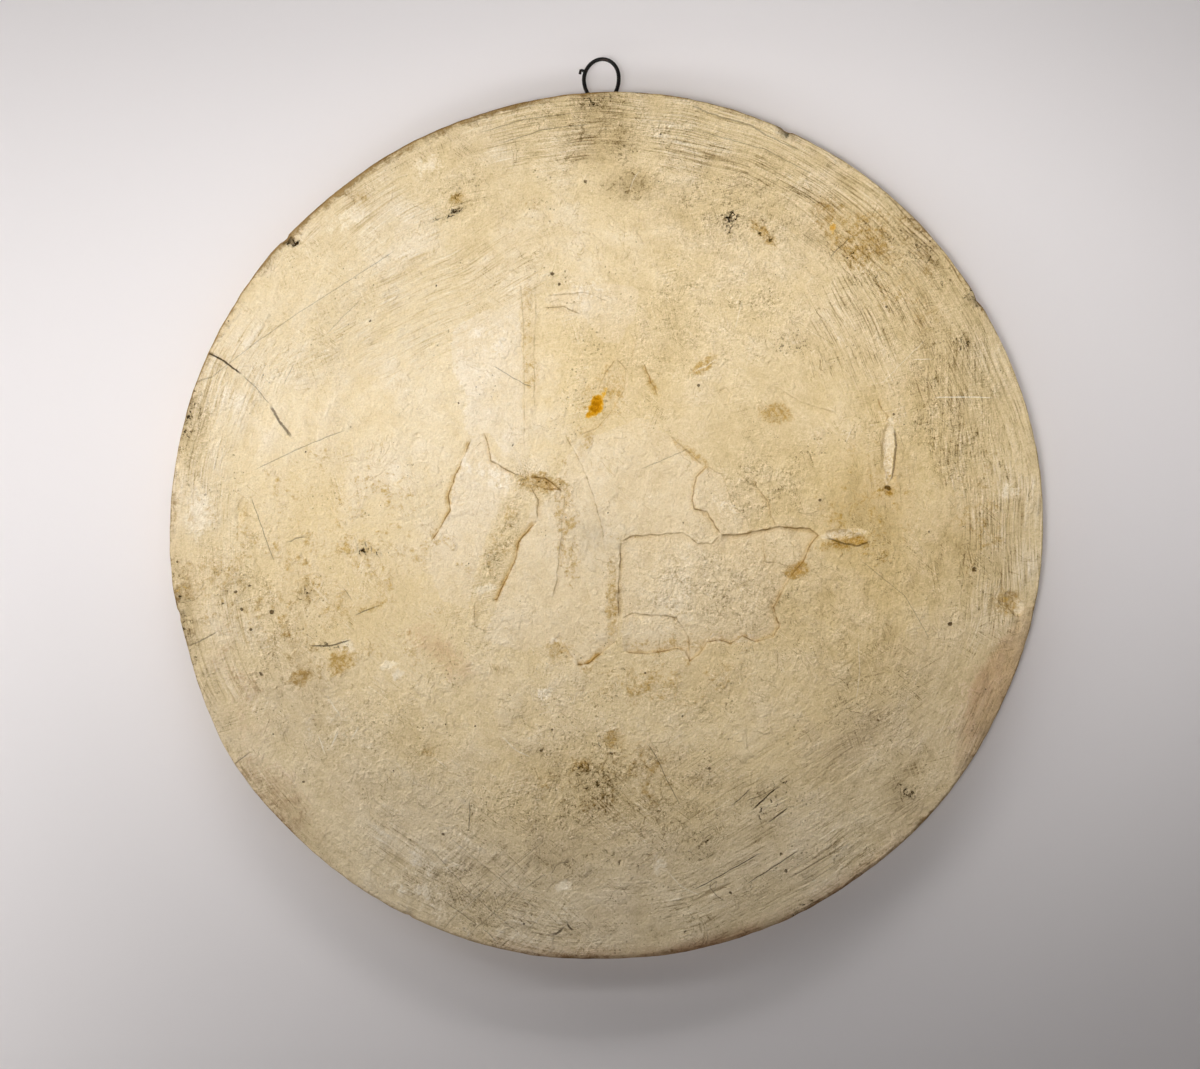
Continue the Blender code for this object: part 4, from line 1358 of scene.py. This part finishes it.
# %% Colours from lightness
lightness = 0.64
for noise_value, swing in ((clouds, 0.3), (mottle, 0.38), (blotches, 0.4), (tooth, 0.16)):
    lightness = added(lightness, uneven(noise_value, swing))
near_rim = ramp(tree, stored(tree, "rim"), 40.0, 110.0, 0.25, 1.0)
lightness = added(lightness, times(uneven(smears, 0.55), near_rim))
for mark, share in (
    # broad painted light over the left
    (stored(tree, "pale"), 0.18),
    # painted shade, partly dirt, at the right, the bottom and the top
    (stored(tree, "painted_shade_and_dirt"), -0.1),
    (dark_groove, -0.28),
    (pale_groove, 0.22),
    (dark_scratch, -0.26),
    (pale_scratch, 0.24),
    (grime, -0.14),
    (scuffed, 0.25),
    (bare, 0.04),
    (dark_flecks, -0.3),
    (pale_flecks, 0.3),
    (wrinkles, -0.22),
    # painted highlight along the steps' high sides
    (painted_lip_highlights, 0.16),
    (crumbs, -0.34),
    (chalk, 0.22),
):
    lightness = plus(lightness, mark, share)


def colour_ramp(value, *stops):
    """A color ramp through (position, colour) stops."""
    node = add(tree, "ValToRGB", {0: value})
    elements = node.color_ramp.elements
    while len(elements) < len(stops):
        elements.new(0.5)
    for element, (position, colour) in zip(elements, stops):
        element.position = position
        element.color = colour
    return node.outputs[0]


skin = colour_ramp(
    lightness,
    (0.0, linear(92, 64, 14)),
    (0.28, linear(172, 146, 98)),
    (0.5, linear(216, 192, 144)),
    (0.68, linear(231, 209, 165)),
    (1.0, linear(246, 230, 198)),
)
underneath = colour_ramp(
    lightness,
    (0.0, linear(106, 80, 38)),
    (0.28, linear(182, 158, 116)),
    (0.5, linear(219, 195, 151)),
    (0.68, linear(232, 211, 171)),
    (1.0, linear(247, 233, 208)),
)
yellowing = ramp(tree, grain(tree, place, 18.0, detail=4.0, roughness=0.6), 0.42, 0.62)
pinker = most(bare, times(yellowing, 0.7))
ground = blend(tree, pinker, skin, underneath)
stained = times(ochre, ramp(tree, flecks, 0.4, 0.56, 0.35, 0.9))
for amount, tint in (
    (stained, (208, 184, 120)),
    (times(pink, 0.45), (220, 190, 168)),
    (times(grime, 0.3), (210, 206, 198)),
    (stored(tree, "scraped"), (244, 230, 220)),
):
    ground = blend(tree, amount, ground, linear(*tint), "MULTIPLY")
rusted = added(stored(tree, "rust"), times(fray, 0.5))
rust_colour = colour_ramp(
    rusted, (0.5, linear(226, 190, 110)), (0.75, linear(216, 158, 52)), (1.0, linear(178, 118, 36))
)
rust_here = times(ramp(tree, rusted, 0.4, 0.6), ramp(tree, stored(tree, "rust"), 0.02, 0.2))
ground = blend(tree, rust_here, ground, rust_colour)
for amount, paint in (
    (times(speck, 0.5), (120, 94, 44)),
    (times(dot, 0.8), (76, 52, 16)),
    (times(black_flecks, 0.95), (30, 16, 3)),
    (cracks, (62, 38, 6)),
    (scores, (246, 236, 212)),
):
    ground = blend(tree, amount, ground, linear(*paint))
# Painted shadow and dirt on each step's low side.
ground = blend(tree, step_shadows_and_dirt, ground, linear(214, 190, 136), "MULTIPLY")
ground = blend(tree, seams, ground, linear(132, 102, 50))
ground = blend(tree, times(pits, 0.85), ground, linear(78, 54, 18))
soiled_edge = added(stored(tree, "edge_dirt"), times(fray, 0.6))
soiled_edge = ramp(tree, added(soiled_edge, uneven(smears, 1.6)), 0.3, 0.9)
soiled_edge = times(soiled_edge, ramp(tree, stored(tree, "edge_dirt"), 0.0, 0.2))
ground = blend(tree, soiled_edge, ground, linear(178, 160, 126), "MULTIPLY")
# Painted shade along the bottom and lower right rim.
shaded_bottom_rim = times(stored(tree, "shaded_bottom_rim"), ramp(tree, mottle, 0.3, 0.6, 0.3, 0.9))
ground = blend(tree, shaded_bottom_rim, ground, linear(214, 180, 150), "MULTIPLY")
side_grime = ramp(tree, stored(tree, "rim"), 128.6, 129.8, 0.0, 0.4)
ground = blend(tree, side_grime, ground, linear(196, 172, 140), "MULTIPLY")
# Painted light and shade: the grain is set against a copy of itself shifted up and to the left, and the
# difference lightens the slopes that face the upper left and darkens those that face away, most
# strongly in the rough patches.
toward_the_light = add(tree, "VectorMath", {0: place, 1: (-0.25, 0.0, 0.35)}, operation="ADD").outputs[0]
here = grain(tree, place, 2.2, detail=5.0, roughness=0.7)
shifted = grain(tree, toward_the_light, 2.2, detail=5.0, roughness=0.7)
painted_relief_shade = maths(tree, "SUBTRACT", here, shifted)
painted_relief_shade = times(painted_relief_shade, maths(tree, "MULTIPLY_ADD", rough, 0.7, 0.15))
painted_relief_shade = plus(painted_relief_shade, times(painted_relief_shade, busy), 1.2)
grit_and_painted_shade = added(maths(tree, "MULTIPLY_ADD", grit, 0.28, 0.88), painted_relief_shade)
richness = plus(0.98, stored(tree, "yellowed"), 0.08)
richness = plus(richness, stored(tree, "faded"), -0.14)
ground = add(tree, "HueSaturation", {"Saturation": richness, "Color": ground}).outputs[0]
# The grit's speckle and this painted light and shade darken the ground together, warmer where darker.
grit_and_shade_green = maths(tree, "POWER", grit_and_painted_shade, 1.12)
grit_and_shade_blue = maths(tree, "POWER", grit_and_painted_shade, 1.5)
grit_and_shade_colour = add(tree, "CombineColor", {0: grit_and_painted_shade, 1: grit_and_shade_green, 2: grit_and_shade_blue}).outputs[0]
ground = blend(tree, 1.0, ground, grit_and_shade_colour, "MULTIPLY")
tree.links.new(ground, shader.inputs["Base Color"])
shader.inputs["Roughness"].default_value = 0.88
shader.inputs["Specular IOR Level"].default_value = 0.0

# %% [markdown]
# ## The plaster's fine relief
#
# Grain, comb grooves and lines are too small for faces, so a Bump node shades them. Their heights
# are added up in millimetres.

# %% Plaster relief
relief = times(grooves, -0.5)
skin_step = times(ramp(tree, skins, 0.485, 0.515), skin_here)
crusty = times(crust, maths(tree, "MULTIPLY_ADD", rough, 0.15, 0.1))
for height, share in (
    (tooth, 0.22),
    (blotches, 0.5),
    (mottle, 1.7),
    (scratched, -0.25),
    (skin_step, 0.22),
    (dark_flecks, -0.1),
    (black_flecks, -0.15),
    (cracks, -0.3),
    (scores, 0.06),
    (speck, -0.08),
    (grit, 0.1),
    (crusty, 1.0),
    (crumbs, -0.14),
    (smears, 0.9),
):
    relief = plus(relief, height, share)
bump = add(tree, "Bump", {"Height": relief, "Distance": MM, "Strength": 1.0}).outputs[0]
tree.links.new(bump, shader.inputs["Normal"])
disc_mesh.materials.append(plaster_material)
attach(plaster_disc, "root")
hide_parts("cast_disc")
print("plaster nodes:", len(tree.nodes))

# %% [markdown]
# ## The wire loop
#
# A length of iron wire, bent by hand into an uneven loop, with a short cut end at its left. The
# packed wire's shape is right, so it stays, and only its finish is made here.

# %% Wire material
wire_material, tree, shader, place = new_material("blackened_iron_wire")
scale_noise = grain(tree, place, 1.2, detail=4.0, roughness=0.6)
wire_colour = blend(
    tree, ramp(tree, scale_noise, 0.45, 0.7), linear(12, 10, 9), linear(44, 32, 22)
)
tree.links.new(wire_colour, shader.inputs["Base Color"])
shader.inputs["Metallic"].default_value = 0.6
shader.inputs["Roughness"].default_value = 0.45
bump = add(tree, "Bump", {"Height": scale_noise, "Distance": MM, "Strength": 0.12}).outputs[0]
tree.links.new(bump, shader.inputs["Normal"])
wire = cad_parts["wire_loop"]
wire.data.materials.clear()
wire.data.materials.append(wire_material)

# %% [markdown]
# ## Backdrop, floor, light and camera
#
# The medallion lies face down on pale card, so the card is a plane just behind its front. The
# plane is one-sided: seen from behind it vanishes, and the front shows.

# %% Stage
CARD_Y = FRONT_Y + 0.05


def one_sided_card(name, colour):
    made, tree, shader, _ = new_material(name)
    shader.inputs["Base Color"].default_value = colour
    shader.inputs["Roughness"].default_value = 0.9
    facing = add(tree, "NewGeometry").outputs["Backfacing"]
    clear = add(tree, "BsdfTransparent").outputs[0]
    mix = add(tree, "MixShader", {0: facing, 1: shader.outputs[0], 2: clear})
    tree.links.new(mix.outputs[0], tree.nodes["Material Output"].inputs[0])
    return made


def stage_plane(name, size, turn_x_deg, location, material):
    bpy.ops.mesh.primitive_plane_add(
        size=size, location=location, rotation=(math.radians(turn_x_deg), 0.0, 0.0)
    )
    plane = bpy.context.object
    plane.name = name
    plane.data.materials.append(material)
    return plane


card = stage_plane(
    "card", 3.0, 90.0, (0.0, CARD_Y * MM, -0.14), one_sided_card("pale_card", linear(232, 228, 228))
)
card.visible_shadow = False
floor = stage_plane(
    "floor", 6.0, 0.0, (0.0, 0.0, -0.62), one_sided_card("pale_floor", linear(228, 226, 224))
)
floor.visible_shadow = False


WARM_WHITE = (1.0, 0.985, 0.98)


def area_light(name, location, target, size, watts, spread_deg):
    """A soft box of this width and height, from millimetres round the disc's centre."""
    data = bpy.data.lights.new(name, "AREA")
    data.shape = "RECTANGLE"
    data.size, data.size_y = size
    data.energy = watts
    data.color = WARM_WHITE
    data.spread = math.radians(spread_deg)
    light = bpy.data.objects.new(name, data)
    centre = Vector((DISC_CENTRE_X, 0.0, DISC_CENTRE_Z))
    light.location = (centre + Vector(location)) * MM
    aim = Vector(target) - Vector(location)
    light.rotation_euler = aim.to_track_quat("-Z", "Y").to_euler()
    light.visible_camera = False
    bpy.context.scene.collection.objects.link(light)


LIGHTS = (
    # (name, location, target, width and height in metres, watts, spread in degrees)
    ("strip", (-60, -188, 20), (-60, 12, 130), (0.8, 0.06), 0.27, 180),
    ("overhead", (-80, -250, 300), (-80, 12, 0), (0.7, 0.06), 0.138, 60),
    ("top_soft", (-100, -400, 600), (0, 12, 0), (0.8, 0.2), 0.68, 180),
    ("key", (-550, -220, 280), (0, 12, 0), (0.22, 0.22), 0.6, 180),
    ("left_strip", (-250, -188, 0), (-250, 12, 60), (0.4, 0.06), 0.16, 180),
    ("side_box", (-300, -188, -150), (-300, 12, -150), (0.1, 0.1), 0.19, 180),
    ("lamp_far", (-300, -1400, -300), (0, 12, 0), (0.12, 0.12), 1.9, 180),
    ("lamp_near", (-60, -700, -30), (60, 12, 90), (0.06, 0.06), 0.08, 40),
    ("front_fill", (400, 1400, 300), (0, 0, 0), (1.0, 1.0), 4.0, 180),
)
for values in LIGHTS:
    area_light(*values)
print(len(LIGHTS), "lights")

world = bpy.data.worlds.new("studio")
world.use_nodes = True
world.node_tree.nodes["Background"].inputs[0].default_value = (0.95, 0.96, 1.0, 1.0)
world.node_tree.nodes["Background"].inputs[1].default_value = 0.01
bpy.context.scene.world = world
bpy.context.scene.view_settings.view_transform = "Standard"

# %% Camera
LENS = 65.0
SENSOR = 36.0
LOOP_PIXEL_X = 601.3
LOOP_PIXEL_Z = 56.7
view_width = PHOTO_WIDTH * PIXEL_MM
camera_data = bpy.data.cameras.new("camera")
camera_data.lens = LENS
camera_data.sensor_width = SENSOR
camera = bpy.data.objects.new("camera", camera_data)
camera.location = (
    (PHOTO_WIDTH / 2 - LOOP_PIXEL_X) * PIXEL_MM * MM,
    (BACK_Y - view_width * LENS / SENSOR) * MM,
    (LOOP_PIXEL_Z - PHOTO_HEIGHT / 2) * PIXEL_MM * MM,
)
camera.rotation_euler = (math.radians(90.0), 0.0, 0.0)
bpy.context.scene.collection.objects.link(camera)
bpy.context.scene.camera = camera
